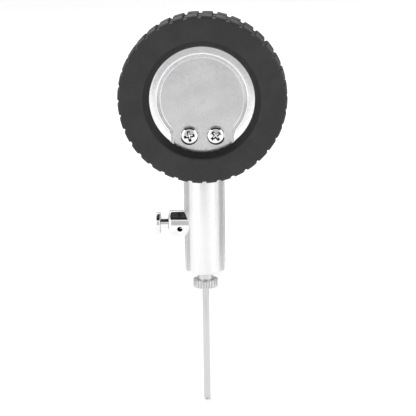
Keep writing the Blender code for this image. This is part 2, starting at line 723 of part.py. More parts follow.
def case_screws(steel):
    for side, spot in CASE_SCREWS.items():
        seat = RECESS_LEVEL + CLEARANCE
        top = seat + CASE_SCREW_HEAD_HEIGHT
        outline = [
            (0, seat - CASE_SCREW_LENGTH),
            (CASE_SCREW_RADIUS, seat - CASE_SCREW_LENGTH),
            (CASE_SCREW_RADIUS, seat),
            (CASE_SCREW_HEAD_RADIUS, seat),
            (CASE_SCREW_HEAD_RADIUS, seat + CASE_SCREW_HEAD_HEIGHT / 2),
            (CASE_SCREW_CROWN_RADIUS, top - CASE_SCREW_CROWN_DROP),
            (CASE_SCREW_FLAT_RADIUS, top),
            (0, top),
        ]
        screw = turned(f"case_screw_{side}", outline, steel, on_dial(spot), "Y", SMALL_SIDES)
        for slot, (half_x, half_z) in enumerate(
            ((CROSS_SPAN / 2, CROSS_WIDTH / 2), (CROSS_WIDTH / 2, CROSS_SPAN / 2))
        ):
            low = (-half_x, top - CROSS_DEPTH, -half_z)
            high = (half_x, top + CROSS_DEPTH, half_z)
            cut(screw, box(f"cross_{side}_{slot}", low, high, at=on_dial(spot)))


def window(steel, glass, rubber):
    gasket_rear = CASE_FRONT - CLEARANCE
    gasket = [
        (CASE_RADIUS - GASKET_WIDTH, gasket_rear - GASKET_THICKNESS),
        (CASE_RADIUS, gasket_rear - GASKET_THICKNESS),
        (CASE_RADIUS, gasket_rear),
        (CASE_RADIUS - GASKET_WIDTH, gasket_rear),
    ]
    turned("lens_gasket", gasket, rubber, HEAD, "Y")
    disc = [(0, LENS_FRONT), (CASE_RADIUS, LENS_FRONT), (CASE_RADIUS, LENS_REAR), (0, LENS_REAR)]
    turned("lens", disc, glass, HEAD, "Y")
    skirt_inner = CASE_RADIUS + CLEARANCE
    skirt_outer = skirt_inner + BEZEL_WALL
    skirt_rear = CASE_FRONT + BEZEL_OVERLAP
    ring = [
        (CASE_RADIUS - BEZEL_LIP, BEZEL_FRONT),
        (skirt_outer - BEZEL_WALL / 2, BEZEL_FRONT),
        (skirt_outer, BEZEL_FRONT + BEZEL_WALL / 2),
        (skirt_outer, skirt_rear),
        (skirt_inner, skirt_rear),
        (skirt_inner, BEZEL_FRONT + BEZEL_WALL),
        (CASE_RADIUS - BEZEL_LIP, BEZEL_FRONT + BEZEL_WALL),
    ]
    turned("bezel_ring", ring, steel, HEAD, "Y")


def guard_cavity():
    """The room inside the guard for the case and the bezel."""
    step_level = CASE_FRONT + BEZEL_OVERLAP + 2 * CLEARANCE
    corner_centre = (CASE_RADIUS - CASE_CORNER, CREST_LEVEL - BEAD_FALL - CASE_CORNER)
    lip_level = CREST_LEVEL + CLEARANCE
    outline = [
        (0, GUARD_FRONT + GUARD_FRONT_LIP),
        (CAVITY_RADIUS, GUARD_FRONT + GUARD_FRONT_LIP),
        (CAVITY_RADIUS, step_level),
        (CASE_RADIUS + 2 * CLEARANCE, step_level),
        *arc(CASE_CORNER + 2 * CLEARANCE, 0, 90, 4, corner_centre),
        (GUARD_REAR_OPENING - 2 * CLEARANCE, lip_level),
        (0, lip_level),
    ]
    return turned("guard_cavity", outline, None, HEAD, "Y")


def tyre_guard(rubber):
    half_notch = NOTCH_WIDTH / 2 / GUARD_RADIUS
    wall_angle = half_notch / 5
    floors = set()
    angles = []
    for notch in range(NOTCH_COUNT):
        centre = NOTCH_PHASE + 2 * math.pi * notch / NOTCH_COUNT
        floor = (centre - half_notch, centre + half_notch)
        angles += [floor[0] - wall_angle, *floor, floor[1] + wall_angle]
        floors.update(floor)
    edge_radius = GUARD_RADIUS - GUARD_CROWN_DROP
    groove_floor = GUARD_RADIUS - GROOVE_DEPTH
    lip_corner = GUARD_REAR_OPENING + GUARD_LIP_SLOPE
    lip_land = CREST_LEVEL + CLEARANCE + GUARD_LIP_LAND

    def outline_at(angle):
        depth = NOTCH_DEPTH if angle in floors else 0.0
        tread = GUARD_RADIUS - depth
        edge = edge_radius - depth / 2
        grooved = []
        for middle in (GROOVE_OFFSET, -GROOVE_OFFSET):
            rear, front = middle + GROOVE_WIDTH / 2, middle - GROOVE_WIDTH / 2
            grooved += [(tread, rear), (groove_floor, rear), (groove_floor, front), (tread, front)]
        return [
            (GUARD_REAR_OPENING, 0),
            (GUARD_REAR_OPENING, lip_land),
            (lip_corner, GUARD_REAR),
            (edge_radius - GUARD_SHOULDER / 2, GUARD_REAR),
            (edge, GUARD_REAR - GUARD_SHOULDER / 2),
            *grooved,
            (edge, GUARD_FRONT + GUARD_SHOULDER / 2),
            (edge_radius - GUARD_SHOULDER / 2, GUARD_FRONT),
            (GUARD_FRONT_OPENING, GUARD_FRONT),
        ]

    # The mesh's own Y points down here, so its angles grow clockwise as seen from the dial's side.
    guard = turned_by_station("tyre_guard", angles, outline_at, rubber, HEAD, "Y")
    cut(guard, guard_cavity())
    hole_top = HEAD_HEIGHT - GUARD_REAR_OPENING
    hole = rod("guard_stem_hole", STEM_RADIUS + CLEARANCE, STEM_BOTTOM, hole_top, sides=ROUND_SIDES)
    cut(guard, hole)


def socket(brass):
    block = box(
        "socket_block",
        (-SOCKET_HALF_WIDTH, SOCKET_FRONT, SOCKET_BOTTOM),
        (SOCKET_HALF_WIDTH, SOCKET_REAR, SOCKET_LEDGE),
        brass,
        HEAD,
    )
    upper = box(
        "socket_upper",
        (-SOCKET_HALF_WIDTH, SOCKET_STEP, SOCKET_BOTTOM / 2 + SOCKET_LEDGE / 2),
        (SOCKET_HALF_WIDTH, SOCKET_REAR, SOCKET_TOP),
        at=HEAD,
    )
    join(block, upper)
    spigot_low = STEM_TOP - SPIGOT_DEPTH + 4 * CLEARANCE
    spigot_high = HEAD_HEIGHT + SOCKET_BOTTOM + SPIGOT_RADIUS / 4
    join(block, rod("socket_spigot", SPIGOT_RADIUS, spigot_low, spigot_high, sides=VALVE_SIDES))
    pocket_half = TUBE_THICKNESS / 2 + 2 * CLEARANCE
    pocket = [
        (BOURDON_RADIUS - pocket_half, TUBE_FRONT - 2 * CLEARANCE),
        (BOURDON_RADIUS + pocket_half, TUBE_FRONT - 2 * CLEARANCE),
        (BOURDON_RADIUS + pocket_half, TUBE_REAR + 2 * CLEARANCE),
        (BOURDON_RADIUS - pocket_half, TUBE_REAR + 2 * CLEARANCE),
    ]
    pocket_start = TUBE_ROOT - TUBE_IN_SOCKET
    pocket_end = TUBE_ROOT + POCKET_OPENING
    cut(block, swept_arc("tube_pocket", [pocket], pocket_start, pocket_end, 4, None))
    root_x, root_z = on_circle(BOURDON_RADIUS, TUBE_ROOT + TUBE_IN_SOCKET)
    cross_height = HEAD_HEIGHT + root_z
    bore_low = spigot_low - 2 * CLEARANCE
    bore_top = cross_height + TUBE_THICKNESS / 2
    cut(block, rod("socket_bore", SOCKET_BORE_RADIUS, bore_low, bore_top, sides=PIN_SIDES))
    cross_at = (0, TUBE_FRONT + CROSS_BORE_FROM_FRONT, cross_height)
    cross_start = root_x - TUBE_THICKNESS / 2
    cross_bore = rod("socket_cross_bore", TUBE_THICKNESS / 4, cross_start, 0, cross_at, "X", PIN_SIDES)
    cut(block, cross_bore)
    for side, spot in CASE_SCREWS.items():
        hole = CASE_SCREW_RADIUS + 2 * CLEARANCE
        drill(block, f"socket_case_hole_{side}", spot, hole, 0, 2 * SOCKET_REAR)
    for side, spot in MOVEMENT_SCREWS.items():
        hole = MOVEMENT_SCREW_RADIUS + CLEARANCE
        depth = MOVEMENT_REAR + MOVEMENT_PLATE + MOVEMENT_SCREW_LENGTH
        drill(block, f"socket_movement_hole_{side}", spot, hole, 0, depth)


def flat_oval(half_thickness, half_width, centre_y):
    """A tube section of six points, as (radius, y)."""
    flat = half_width - half_thickness
    return [
        (BOURDON_RADIUS + half_thickness, centre_y - flat),
        (BOURDON_RADIUS + half_thickness, centre_y + flat),
        (BOURDON_RADIUS, centre_y + half_width),
        (BOURDON_RADIUS - half_thickness, centre_y + flat),
        (BOURDON_RADIUS - half_thickness, centre_y - flat),
        (BOURDON_RADIUS, centre_y - half_width),
    ]


def pressure_tube(brass, steel):
    centre_y = (TUBE_FRONT + TUBE_REAR) / 2
    loops = [
        flat_oval(TUBE_THICKNESS / 2, TUBE_WIDTH / 2, centre_y),
        flat_oval(TUBE_THICKNESS / 2 - TUBE_WALL, TUBE_WIDTH / 2 - TUBE_WALL, centre_y),
    ]
    start = TUBE_ROOT + TUBE_IN_SOCKET
    swept_arc("bourdon_tube", loops, start, TUBE_END - 2 * math.pi, 28, brass)

    half = TUBE_THICKNESS / 2 + TIP_MARGIN
    lug_front = LINK_FRONT + LINK_THICKNESS + 5 * CLEARANCE
    gap = 2 * CLEARANCE / BOURDON_RADIUS
    profile = [
        (BOURDON_RADIUS - half, lug_front),
        (BOURDON_RADIUS + half, lug_front),
        (BOURDON_RADIUS + half, TUBE_REAR),
        (BOURDON_RADIUS - half, TUBE_REAR),
    ]
    tip = swept_arc("tube_tip", [profile], TUBE_END - gap, TUBE_END - TIP_ARC, 3, brass)
    cap = [(radius, TUBE_FRONT if y == lug_front else y) for radius, y in profile]
    cap_end = TUBE_END - TIP_CAP_ARC
    join(tip, swept_arc("tube_tip_cap", [cap], TUBE_END - gap, cap_end, 1, None))
    pin_hole = LINK_PIN_RADIUS + CLEARANCE
    drill(tip, "tip_pin_hole", TIP_PIN, pin_hole, 0, TUBE_REAR)

    head_rear = LINK_FRONT - CLEARANCE
    pin_outline = [
        (0, head_rear - LINK_PIN_HEAD_RADIUS / 2),
        (LINK_PIN_HEAD_RADIUS, head_rear - LINK_PIN_HEAD_RADIUS / 2),
        (LINK_PIN_HEAD_RADIUS, head_rear),
        (LINK_PIN_RADIUS, head_rear),
        (LINK_PIN_RADIUS, TUBE_REAR - LINK_PIN_SUNK),
        (0, TUBE_REAR - LINK_PIN_SUNK),
    ]
    pin = turned("tip_link_pin", pin_outline, steel, on_dial(TIP_PIN), "Y", PIN_SIDES)

    # The tip moves as if it turned about a point on the line square to its path.
    path = math.atan2(TIP_PIN[1] - TAIL_PIN[1], TIP_PIN[0] - TAIL_PIN[0])
    pivot = on_circle(TIP_SWING_RADIUS, path + math.pi / 2, TIP_PIN)
    ride("tube_tip_axis", [tip, pin], on_dial(pivot))


def link(steel):
    loops = [
        hull([(TIP_PIN, LINK_TIP_END_RADIUS), (TAIL_PIN, LINK_END_RADIUS)]),
        circle(LINK_PIN_RADIUS + BEARING_CLEARANCE, TIP_PIN, PIN_SIDES),
        circle(LINK_PIN_RADIUS + LINK_FREE_PLAY, TAIL_PIN, PIN_SIDES),
    ]
    piece = plate("link", loops, LINK_FRONT, LINK_FRONT + LINK_THICKNESS, steel)
    ride("link_axis", [piece], on_dial(TIP_PIN))


def tooth_angles(pitch_radius, centre):
    """Four (radius, angle) corners of one tooth, in rising angle."""
    root = pitch_radius - TOOTH_ROOT
    tip = pitch_radius + TOOTH_HEIGHT
    root_half = TOOTH_ROOT_THICKNESS / 2 / root
    tip_half = TOOTH_TIP_THICKNESS / 2 / tip
    return [
        (root, centre - root_half),
        (tip, centre - tip_half),
        (tip, centre + tip_half),
        (root, centre + root_half),
    ]


def sector(brass, steel):
    mesh_direction = SECTOR_DIRECTION + math.pi
    pitch_angle = 2 * math.pi / SECTOR_FULL_TEETH
    hub = SECTOR_HUB_RADIUS
    first = mesh_direction - (SECTOR_TEETH_BEFORE + SECTOR_EDGE) * pitch_angle
    last = mesh_direction + (SECTOR_TEETH_AFTER + SECTOR_EDGE) * pitch_angle
    polar = [(hub, first), (SECTOR_PITCH - TOOTH_ROOT, first)]
    for tooth in range(-SECTOR_TEETH_BEFORE, SECTOR_TEETH_AFTER + 1):
        polar += tooth_angles(SECTOR_PITCH, mesh_direction + tooth * pitch_angle)
    polar += [(SECTOR_PITCH - TOOTH_ROOT, last), (hub, last)]
    outline = [on_circle(radius, angle) for radius, angle in polar]
    tail_side = math.acos((hub - TAIL_END_RADIUS) / TAIL_LENGTH)
    tail = TAIL_DIRECTION + 2 * math.pi
    hub_stretch = tail - tail_side - last
    for step in range(1, 8):
        outline.append(on_circle(hub, last + hub_stretch * step / 8))
    tail_end = on_circle(TAIL_LENGTH, tail)
    for step in range(7):
        angle = tail - tail_side + 2 * tail_side * step / 6
        if step == 0:
            outline.append(on_circle(hub, angle))
        outline.append(on_circle(TAIL_END_RADIUS, angle, tail_end))
    outline.append(on_circle(hub, tail + tail_side))
    holes = [
        circle(SECTOR_BORE + CLEARANCE),
        circle(LINK_PIN_RADIUS + CLEARANCE, tail_end, PIN_SIDES),
    ]
    sector_rear = SECTOR_FRONT + SECTOR_THICKNESS
    at = on_dial(SECTOR_AXIS)
    gear = plate("sector_gear", [outline, *holes], SECTOR_FRONT, sector_rear, brass, at)

    shoulder = SECTOR_BORE + SECTOR_SHOULDER
    arbor_outline = [
        (0, MOVEMENT_FRONT - MOVEMENT_PLATE),
        (ARBOR_RADIUS, MOVEMENT_FRONT - MOVEMENT_PLATE),
        (ARBOR_RADIUS, MOVEMENT_FRONT + 2 * CLEARANCE),
        (shoulder, MOVEMENT_FRONT + 2 * CLEARANCE),
        (shoulder, SECTOR_FRONT - CLEARANCE),
        (SECTOR_BORE, SECTOR_FRONT - CLEARANCE),
        (SECTOR_BORE, MOVEMENT_REAR - 2 * CLEARANCE),
        (ARBOR_RADIUS, MOVEMENT_REAR - 2 * CLEARANCE),
        (ARBOR_RADIUS, MOVEMENT_REAR + MOVEMENT_PLATE),
        (0, MOVEMENT_REAR + MOVEMENT_PLATE),
    ]
    arbor = turned("sector_arbor", arbor_outline, steel, at, "Y", SMALL_SIDES)

    head_front = LINK_FRONT + LINK_THICKNESS + CLEARANCE
    pin_outline = [
        (0, SECTOR_FRONT),
        (LINK_PIN_RADIUS, SECTOR_FRONT),
        (LINK_PIN_RADIUS, head_front),
        (LINK_PIN_HEAD_RADIUS, head_front),
        (LINK_PIN_HEAD_RADIUS, MOVEMENT_REAR - 4 * CLEARANCE),
        (0, MOVEMENT_REAR - 4 * CLEARANCE),
    ]
    pin = turned("sector_link_pin", pin_outline, steel, on_dial(TAIL_PIN), "Y", PIN_SIDES)
    ride("sector_axis", [gear, arbor, pin], at)


def pinion_and_pointer(steel, brass, black):
    pitch_angle = 2 * math.pi / PINION_TEETH
    # The mesh's Y points down, so an angle on the dial changes sign here.
    gap_centre = -SECTOR_DIRECTION
    corners = []
    for tooth in range(PINION_TEETH):
        centre = gap_centre + (tooth + 0.5) * pitch_angle
        corners += tooth_angles(PINION_PITCH, centre)
    radius_of = {angle: radius for radius, angle in corners}
    arbor_front = POINTER_REAR - POINTER_THICKNESS - ARBOR_SHOWN

    def outline_at(angle):
        return [
            (0, arbor_front),
            (POINTER_ARBOR_RADIUS, arbor_front),
            (POINTER_ARBOR_RADIUS, DIAL_REAR),
            (ARBOR_RADIUS, DIAL_REAR),
            (ARBOR_RADIUS, PINION_FRONT),
            (radius_of[angle], PINION_FRONT),
            (radius_of[angle], PINION_REAR),
            (ARBOR_RADIUS, PINION_REAR),
            (ARBOR_RADIUS, MOVEMENT_REAR + MOVEMENT_PLATE),
            (0, MOVEMENT_REAR + MOVEMENT_PLATE),
        ]

    angles = [angle for _, angle in corners]
    pinion = turned_by_station("pinion_arbor", angles, outline_at, steel, HEAD, "Y")

    collet_outline = [
        (ARBOR_RADIUS + CLEARANCE, COLLET_FRONT),
        (COLLET_RADIUS, COLLET_FRONT),
        (COLLET_RADIUS, COLLET_FRONT + COLLET_LENGTH),
        (ARBOR_RADIUS + CLEARANCE, COLLET_FRONT + COLLET_LENGTH),
    ]
    collet = turned("hairspring_collet", collet_outline, brass, HEAD, "Y", SMALL_SIDES)

    pointer_front = POINTER_REAR - POINTER_THICKNESS
    blade_side = math.asin(POINTER_ROOT_WIDTH / 2 / POINTER_DISC_RADIUS)
    outline = []
    for mirror in (1, -1):
        half = [
            (math.hypot(POINTER_LENGTH, POINTER_TIP_WIDTH / 2), POINTER_TIP_WIDTH / 2 / POINTER_LENGTH),
            *[
                (POINTER_DISC_RADIUS, blade_side + (math.pi - 2 * blade_side) * step / 5)
                for step in range(6)
            ],
            (POINTER_TAIL, math.pi - POINTER_TAIL_WIDTH / 2 / POINTER_TAIL),
        ]
        points = [on_circle(radius, POINTER_REST + mirror * turn) for radius, turn in half]
        outline += points[::mirror]
    waist = circle(HUB_BOSS_RADIUS + CLEARANCE)
    pointer = plate("pointer", [outline, waist], pointer_front, POINTER_REAR, black)

    cap_rear = pointer_front - CLEARANCE
    cap_front = cap_rear - HUB_HEIGHT
    hub_bore = POINTER_ARBOR_RADIUS + CLEARANCE / 2
    hub_rear = DIAL_REAR - DIAL_THICKNESS - 4 * CLEARANCE
    hub_outline = [
        (0, cap_front),
        (HUB_RADIUS - HUB_CHAMFER_WIDTH, cap_front),
        (HUB_RADIUS, cap_front + HUB_CHAMFER_HEIGHT),
        (HUB_RADIUS, cap_rear),
        (HUB_BOSS_RADIUS, cap_rear),
        (HUB_BOSS_RADIUS, hub_rear),
        (hub_bore, hub_rear),
        (hub_bore, arbor_front - CLEARANCE),
        (0, arbor_front - CLEARANCE),
    ]
    hub = turned("pointer_hub", hub_outline, brass, HEAD, "Y", SMALL_SIDES)
    ride("pointer_axis", [pinion, collet, pointer, hub], HEAD)


def hairspring(steel, brass):
    steps = HAIRSPRING_TURNS * 16
    edges = {1: [], -1: []}
    for step in range(steps + 1):
        share = step / steps
        angle = HAIRSPRING_END - 2 * math.pi * HAIRSPRING_TURNS * (1 - share)
        radius = HAIRSPRING_INNER + (HAIRSPRING_OUTER - HAIRSPRING_INNER) * share
        for side, edge in edges.items():
            edge.append(on_circle(radius + side * HAIRSPRING_THICKNESS / 2, angle))
    front = COLLET_FRONT + COLLET_LENGTH / 2 - HAIRSPRING_WIDTH / 2
    outline = edges[1] + edges[-1][::-1]
    plate("hairspring", [outline], front, front + HAIRSPRING_WIDTH, steel)
    stud_distance = HAIRSPRING_OUTER + HAIRSPRING_THICKNESS / 2 + CLEARANCE + STUD_RADIUS
    stud_at = on_dial(on_circle(stud_distance, HAIRSPRING_END))
    stud_outline = [
        (0, MOVEMENT_FRONT - MOVEMENT_PLATE / 2),
        (STUD_RADIUS, MOVEMENT_FRONT - MOVEMENT_PLATE / 2),
        (STUD_RADIUS, COLLET_FRONT + COLLET_LENGTH),
        (0, COLLET_FRONT + COLLET_LENGTH),
    ]
    turned("hairspring_stud", stud_outline, brass, stud_at, "Y", PIN_SIDES)
    return on_circle(stud_distance, HAIRSPRING_END)


def movement_frame(brass, steel, stud_place):
    bosses = [((0.0, 0.0), BOSS_RADIUS), (SECTOR_AXIS, BOSS_RADIUS)]
    bosses += [(spot, BOSS_RADIUS) for spot in PILLARS.values()]
    feet = [(spot, BOSS_RADIUS) for spot in MOVEMENT_SCREWS.values()]
    bearing = ARBOR_RADIUS + BEARING_CLEARANCE
    bearings = [circle(bearing), circle(bearing, SECTOR_AXIS)]
    necks = [circle(PILLAR_NECK_RADIUS + CLEARANCE, spot) for spot in PILLARS.values()]
    front_holes = [*bearings, *necks, circle(STUD_RADIUS + CLEARANCE, stud_place, PIN_SIDES)]
    front_low = MOVEMENT_FRONT - MOVEMENT_PLATE
    plate("movement_front_plate", [hull(bosses), *front_holes], front_low, MOVEMENT_FRONT, brass)
    shank_hole = MOVEMENT_SCREW_RADIUS + CLEARANCE
    rear_holes = [circle(shank_hole, spot, PIN_SIDES) for spot in MOVEMENT_SCREWS.values()]
    rear_high = MOVEMENT_REAR + MOVEMENT_PLATE
    rear_loops = [hull(bosses + feet), *bearings, *necks, *rear_holes]
    plate("movement_rear_plate", rear_loops, MOVEMENT_REAR, rear_high, brass)

    for side, spot in PILLARS.items():
        at = on_dial(spot)
        neck_front = DIAL_REAR + CLEARANCE
        tapped = DIAL_SCREW_RADIUS + CLEARANCE
        tapped_end = MOVEMENT_FRONT + MOVEMENT_PLATE
        outline = [
            (tapped, neck_front),
            (PILLAR_NECK_RADIUS, neck_front),
            (PILLAR_NECK_RADIUS, MOVEMENT_FRONT + CLEARANCE),
            (PILLAR_RADIUS, MOVEMENT_FRONT + CLEARANCE),
            (PILLAR_RADIUS, MOVEMENT_REAR - CLEARANCE),
            (PILLAR_NECK_RADIUS, MOVEMENT_REAR - CLEARANCE),
            (PILLAR_NECK_RADIUS, rear_high),
            (0, rear_high),
            (0, tapped_end),
            (tapped, tapped_end),
        ]
        turned(f"movement_pillar_{side}", outline, brass, at, "Y", SMALL_SIDES)

    for side, spot in MOVEMENT_SCREWS.items():
        seat = MOVEMENT_REAR - CLEARANCE
        screw_outline = [
            (0, seat - MOVEMENT_SCREW_HEAD),
            (MOVEMENT_SCREW_HEAD_RADIUS, seat - MOVEMENT_SCREW_HEAD),
            (MOVEMENT_SCREW_HEAD_RADIUS, seat),
            (MOVEMENT_SCREW_RADIUS, seat),
            (MOVEMENT_SCREW_RADIUS, rear_high + MOVEMENT_SCREW_LENGTH - CLEARANCE),
            (0, rear_high + MOVEMENT_SCREW_LENGTH - CLEARANCE),
        ]
        turned(f"movement_screw_{side}", screw_outline, steel, on_dial(spot), "Y", PIN_SIDES)


def dial(white, steel):
    dial_radius = CASE_INNER - DIAL_GAP
    dial_front = DIAL_REAR - DIAL_THICKNESS
    stop_place = on_circle(STOP_DISTANCE, POINTER_REST + STOP_LEAD)
    holes = [circle(DIAL_BORE), circle(STOP_RADIUS + CLEARANCE, stop_place, PIN_SIDES)]
    holes += [circle(DIAL_SCREW_RADIUS + CLEARANCE, spot, PIN_SIDES) for spot in PILLARS.values()]
    loops = [circle(dial_radius, sides=ROUND_SIDES), *holes]
    plate("dial_plate", loops, dial_front, DIAL_REAR, white)
    seat = dial_front - CLEARANCE
    for side, spot in PILLARS.items():
        outline = [
            (0, seat - DIAL_SCREW_HEAD),
            (DIAL_SCREW_HEAD_RADIUS, seat - DIAL_SCREW_HEAD),
            (DIAL_SCREW_HEAD_RADIUS, seat),
            (DIAL_SCREW_RADIUS, seat),
            (DIAL_SCREW_RADIUS, MOVEMENT_FRONT),
            (0, MOVEMENT_FRONT),
        ]
        turned(f"dial_screw_{side}", outline, steel, on_dial(spot), "Y", PIN_SIDES)
    stop_front = POINTER_REAR - POINTER_THICKNESS - STOP_SHOWN
    stop_outline = [
        (0, stop_front),
        (STOP_RADIUS, stop_front),
        (STOP_RADIUS, DIAL_REAR),
        (0, DIAL_REAR),
    ]
    turned("zero_stop_pin", stop_outline, steel, on_dial(stop_place), "Y", PIN_SIDES)


def main():
    clear_scene()
    rubber = finish("guard_rubber", (0.035, 0.035, 0.037), 0.7)
    seal_rubber = finish("seal_rubber", (0.02, 0.02, 0.02), 0.6)
    satin = finish("satin_chrome", (0.72, 0.73, 0.75), 0.22, 1.0)
    bright = finish("bright_chrome", (0.8, 0.81, 0.83), 0.06, 1.0)
    case_steel = finish("case_steel", (0.62, 0.63, 0.65), 0.35, 1.0)
    steel = finish("small_steel", (0.55, 0.56, 0.58), 0.3, 1.0)
    brass = finish("brass", (0.72, 0.53, 0.25), 0.3, 1.0)
    glass = finish("window_glass", (0.95, 0.96, 0.96), 0.03, 0.0, 1.0)
    white = finish("dial_white", (0.82, 0.82, 0.8), 0.5)
    black = finish("pointer_black", (0.02, 0.02, 0.02), 0.4)

    needle(bright, bright, seal_rubber)
    stem(satin, seal_rubber)
    bleed_valve(bright, brass, seal_rubber, steel)
    gauge_case(case_steel)
    case_screws(bright)
    window(bright, glass, seal_rubber)
    tyre_guard(rubber)
    socket(brass)
    pressure_tube(brass, steel)
    link(steel)
    sector(brass, steel)
    pinion_and_pointer(steel, brass, black)
    movement_frame(brass, steel, hairspring(steel, brass))
    dial(white, steel)


main()
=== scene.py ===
"""Looks for the ball pressure gauge: tyre guard, pressed case back, chrome stem, bleed valve and needle."""

import functools
import json
import math

import bmesh
import bpy
from mathutils import Matrix, Vector

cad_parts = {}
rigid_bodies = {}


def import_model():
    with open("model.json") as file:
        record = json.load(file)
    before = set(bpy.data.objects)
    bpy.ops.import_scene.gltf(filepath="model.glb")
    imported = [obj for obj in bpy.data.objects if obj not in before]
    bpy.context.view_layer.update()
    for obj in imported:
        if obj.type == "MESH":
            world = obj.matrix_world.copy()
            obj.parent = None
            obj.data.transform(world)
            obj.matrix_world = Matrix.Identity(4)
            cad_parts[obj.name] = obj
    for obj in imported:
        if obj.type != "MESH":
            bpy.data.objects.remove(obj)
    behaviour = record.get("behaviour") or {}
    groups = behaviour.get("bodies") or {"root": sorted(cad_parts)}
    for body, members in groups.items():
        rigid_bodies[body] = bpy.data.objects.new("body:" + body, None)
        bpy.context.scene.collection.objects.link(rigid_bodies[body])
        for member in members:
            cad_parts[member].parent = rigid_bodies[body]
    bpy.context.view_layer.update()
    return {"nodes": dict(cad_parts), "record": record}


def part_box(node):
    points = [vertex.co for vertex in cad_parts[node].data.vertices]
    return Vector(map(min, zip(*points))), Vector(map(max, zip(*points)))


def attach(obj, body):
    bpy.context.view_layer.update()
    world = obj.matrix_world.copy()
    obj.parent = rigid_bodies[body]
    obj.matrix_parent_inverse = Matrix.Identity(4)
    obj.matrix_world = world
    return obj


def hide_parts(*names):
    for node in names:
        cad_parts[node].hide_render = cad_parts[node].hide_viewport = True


for leftover in list(bpy.data.objects):
    bpy.data.objects.remove(leftover)
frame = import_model()

mm = 0.001

# Camera
CAMERA_DISTANCE = 450 * mm  # from the dial's middle
CAMERA_ELEVATION = math.radians(8.2)
CAMERA_SWING = math.radians(2.26)  # towards -X from straight behind
CAMERA_ROLL = math.radians(-0.87)
CAMERA_AIM = Vector((-1.04 * mm, 0, 23.75 * mm))
CAMERA_LENS = 134.3
CAMERA_SENSOR = 36.0

# Studio
WORLD_STRENGTH = 0.98
SOFTBOXES = (  # name, place, width and depth, energy in watts
    ("softbox_above", (0.1, 0.1, 1.3), (1.4, 1.4), 5),
    ("softbox_left", (0.9, 0.9, 0.5), (0.7, 1.0), 1.6),
    ("softbox_right", (-0.9, 0.8, 0.5), (0.7, 1.0), 1.2),
    ("softbox_front", (0.3, -1.1, 0.5), (1.0, 1.0), 2),
)
FLOOR_SIZE = (12, 12)
FLOOR_DROP = 0.05 * mm
CARDS = (  # name, azimuth from the camera's side, distance, width, height and brightness
    ("card_side_left", 112, 0.125, 0.11, 0.16, 0.66),
    ("card_side_right", -112, 0.125, 0.11, 0.16, 0.6),
    ("card_behind", 180, 0.15, 0.22, 0.16, 0.5),
    ("card_strip_left", 44, 0.125, 0.014, 0.14, 1.35),
    ("card_strip_right", -52, 0.125, 0.022, 0.14, 1.5),
    ("card_far", 0, 0.72, 0.5, 0.5, 0.62),
)
HOOD_HEIGHT = 0.2
HOOD_SIZE = (0.3, 0.22)
HOOD_OVERHANG = 0.02
HOOD_BRIGHTNESS = 0.02

# Rubber guard
GUARD_REAR_OPENING = 15.2 * mm
GUARD_LIP_CORNER = 17.2 * mm
GUARD_FRONT_OPENING = 17.0 * mm
# How far inside the lip's corner the painted shade on the inner lip begins.
LIP_SHADE_MARGIN = 0.25 * mm
GUARD_FRONT_LIP = 0.75 * mm
GUARD_SHOULDER = 0.6 * mm
GUARD_CROWN_DROP = 0.5 * mm
GUARD_CAVITY = 19.7 * mm
GUARD_CAVITY_STEP = -4.9 * mm
GROOVE_OFFSET = 3.0 * mm
GROOVE_HALF_WIDTH = 0.6 * mm
GROOVE_DEPTH = 0.8 * mm
NOTCH_COUNT = 36
NOTCH_DEPTH = 0.85 * mm
NOTCH_PHASE = math.radians(91.0)
NOTCH_SHAPE = (  # distance along the tread from a notch's middle in mm, and share of the depth
    (-2.13, 0.0), (-1.4, 0.0), (-0.78, 0.0), (-0.7, 0.04), (-0.64, 0.2), (-0.58, 0.6), (-0.53, 0.9),
    (-0.45, 1.0), (0.0, 1.0), (0.45, 1.0), (0.53, 0.9), (0.58, 0.6), (0.64, 0.2), (0.7, 0.04),
    (0.78, 0.0), (1.4, 0.0),
)

# Case
CASE_WALL = 0.6 * mm
CASE_CORNER = 3.0 * mm
CASE_RIM = 0.12 * mm
CASE_CLEARANCE = 0.1 * mm
RECESS_RADIUS = 11.8 * mm
RECESS_DEPTH = 1.3 * mm
BEAD_SLOPE = 1.5 * mm
BEAD_MIDDLE = 13.4 * mm
BEAD_FALL = 0.35 * mm
POLISH_FROM = 0.12 * mm  # above the pressed floor
KEYHOLE_HALF_WIDTH = 8.45 * mm
KEYHOLE_SLOPE = 0.75 * mm
CASE_SIDES = 720

# Screws
CROSS_LEVELS = (  # height from the head's top, half length and half width of an arm
    (0.1 * mm, 1.66 * mm, 0.46 * mm),
    (-1.0 * mm, 0.95 * mm, 0.14 * mm),
)

SCREW_HEAD_HEIGHT = 1.5 * mm
SCREW_RIM_HEIGHT = 0.72 * mm
SCREW_SHANK_RADIUS = 1.4 * mm
SCREW_TURNS = {"left": math.radians(38), "right": math.radians(10)}
# The cross's walls from this depth down get painted shade; floors, which face out along the axis, keep the
# chrome.
CROSS_SHADE_DEPTH = 0.15 * mm
CROSS_FLOOR_FACING = 0.97  # a face whose normal lies nearer the screw's axis than this is a floor

# Stem
STEM_CHAMFER = 0.6 * mm
NECK_BORE = 2.6 * mm
AIR_WAY_RADIUS = 1.5 * mm
AIR_WAY_FROM = 10.5 * mm
SPIGOT_BORE = 3.6 * mm
SPIGOT_DEPTH = 7.3 * mm
POCKET_REACH = (-3.8 * mm, 2.0 * mm, 9 * mm)  # deep end, step and mouth
POCKET_BORE = 2.3 * mm
FIT = 0.06 * mm

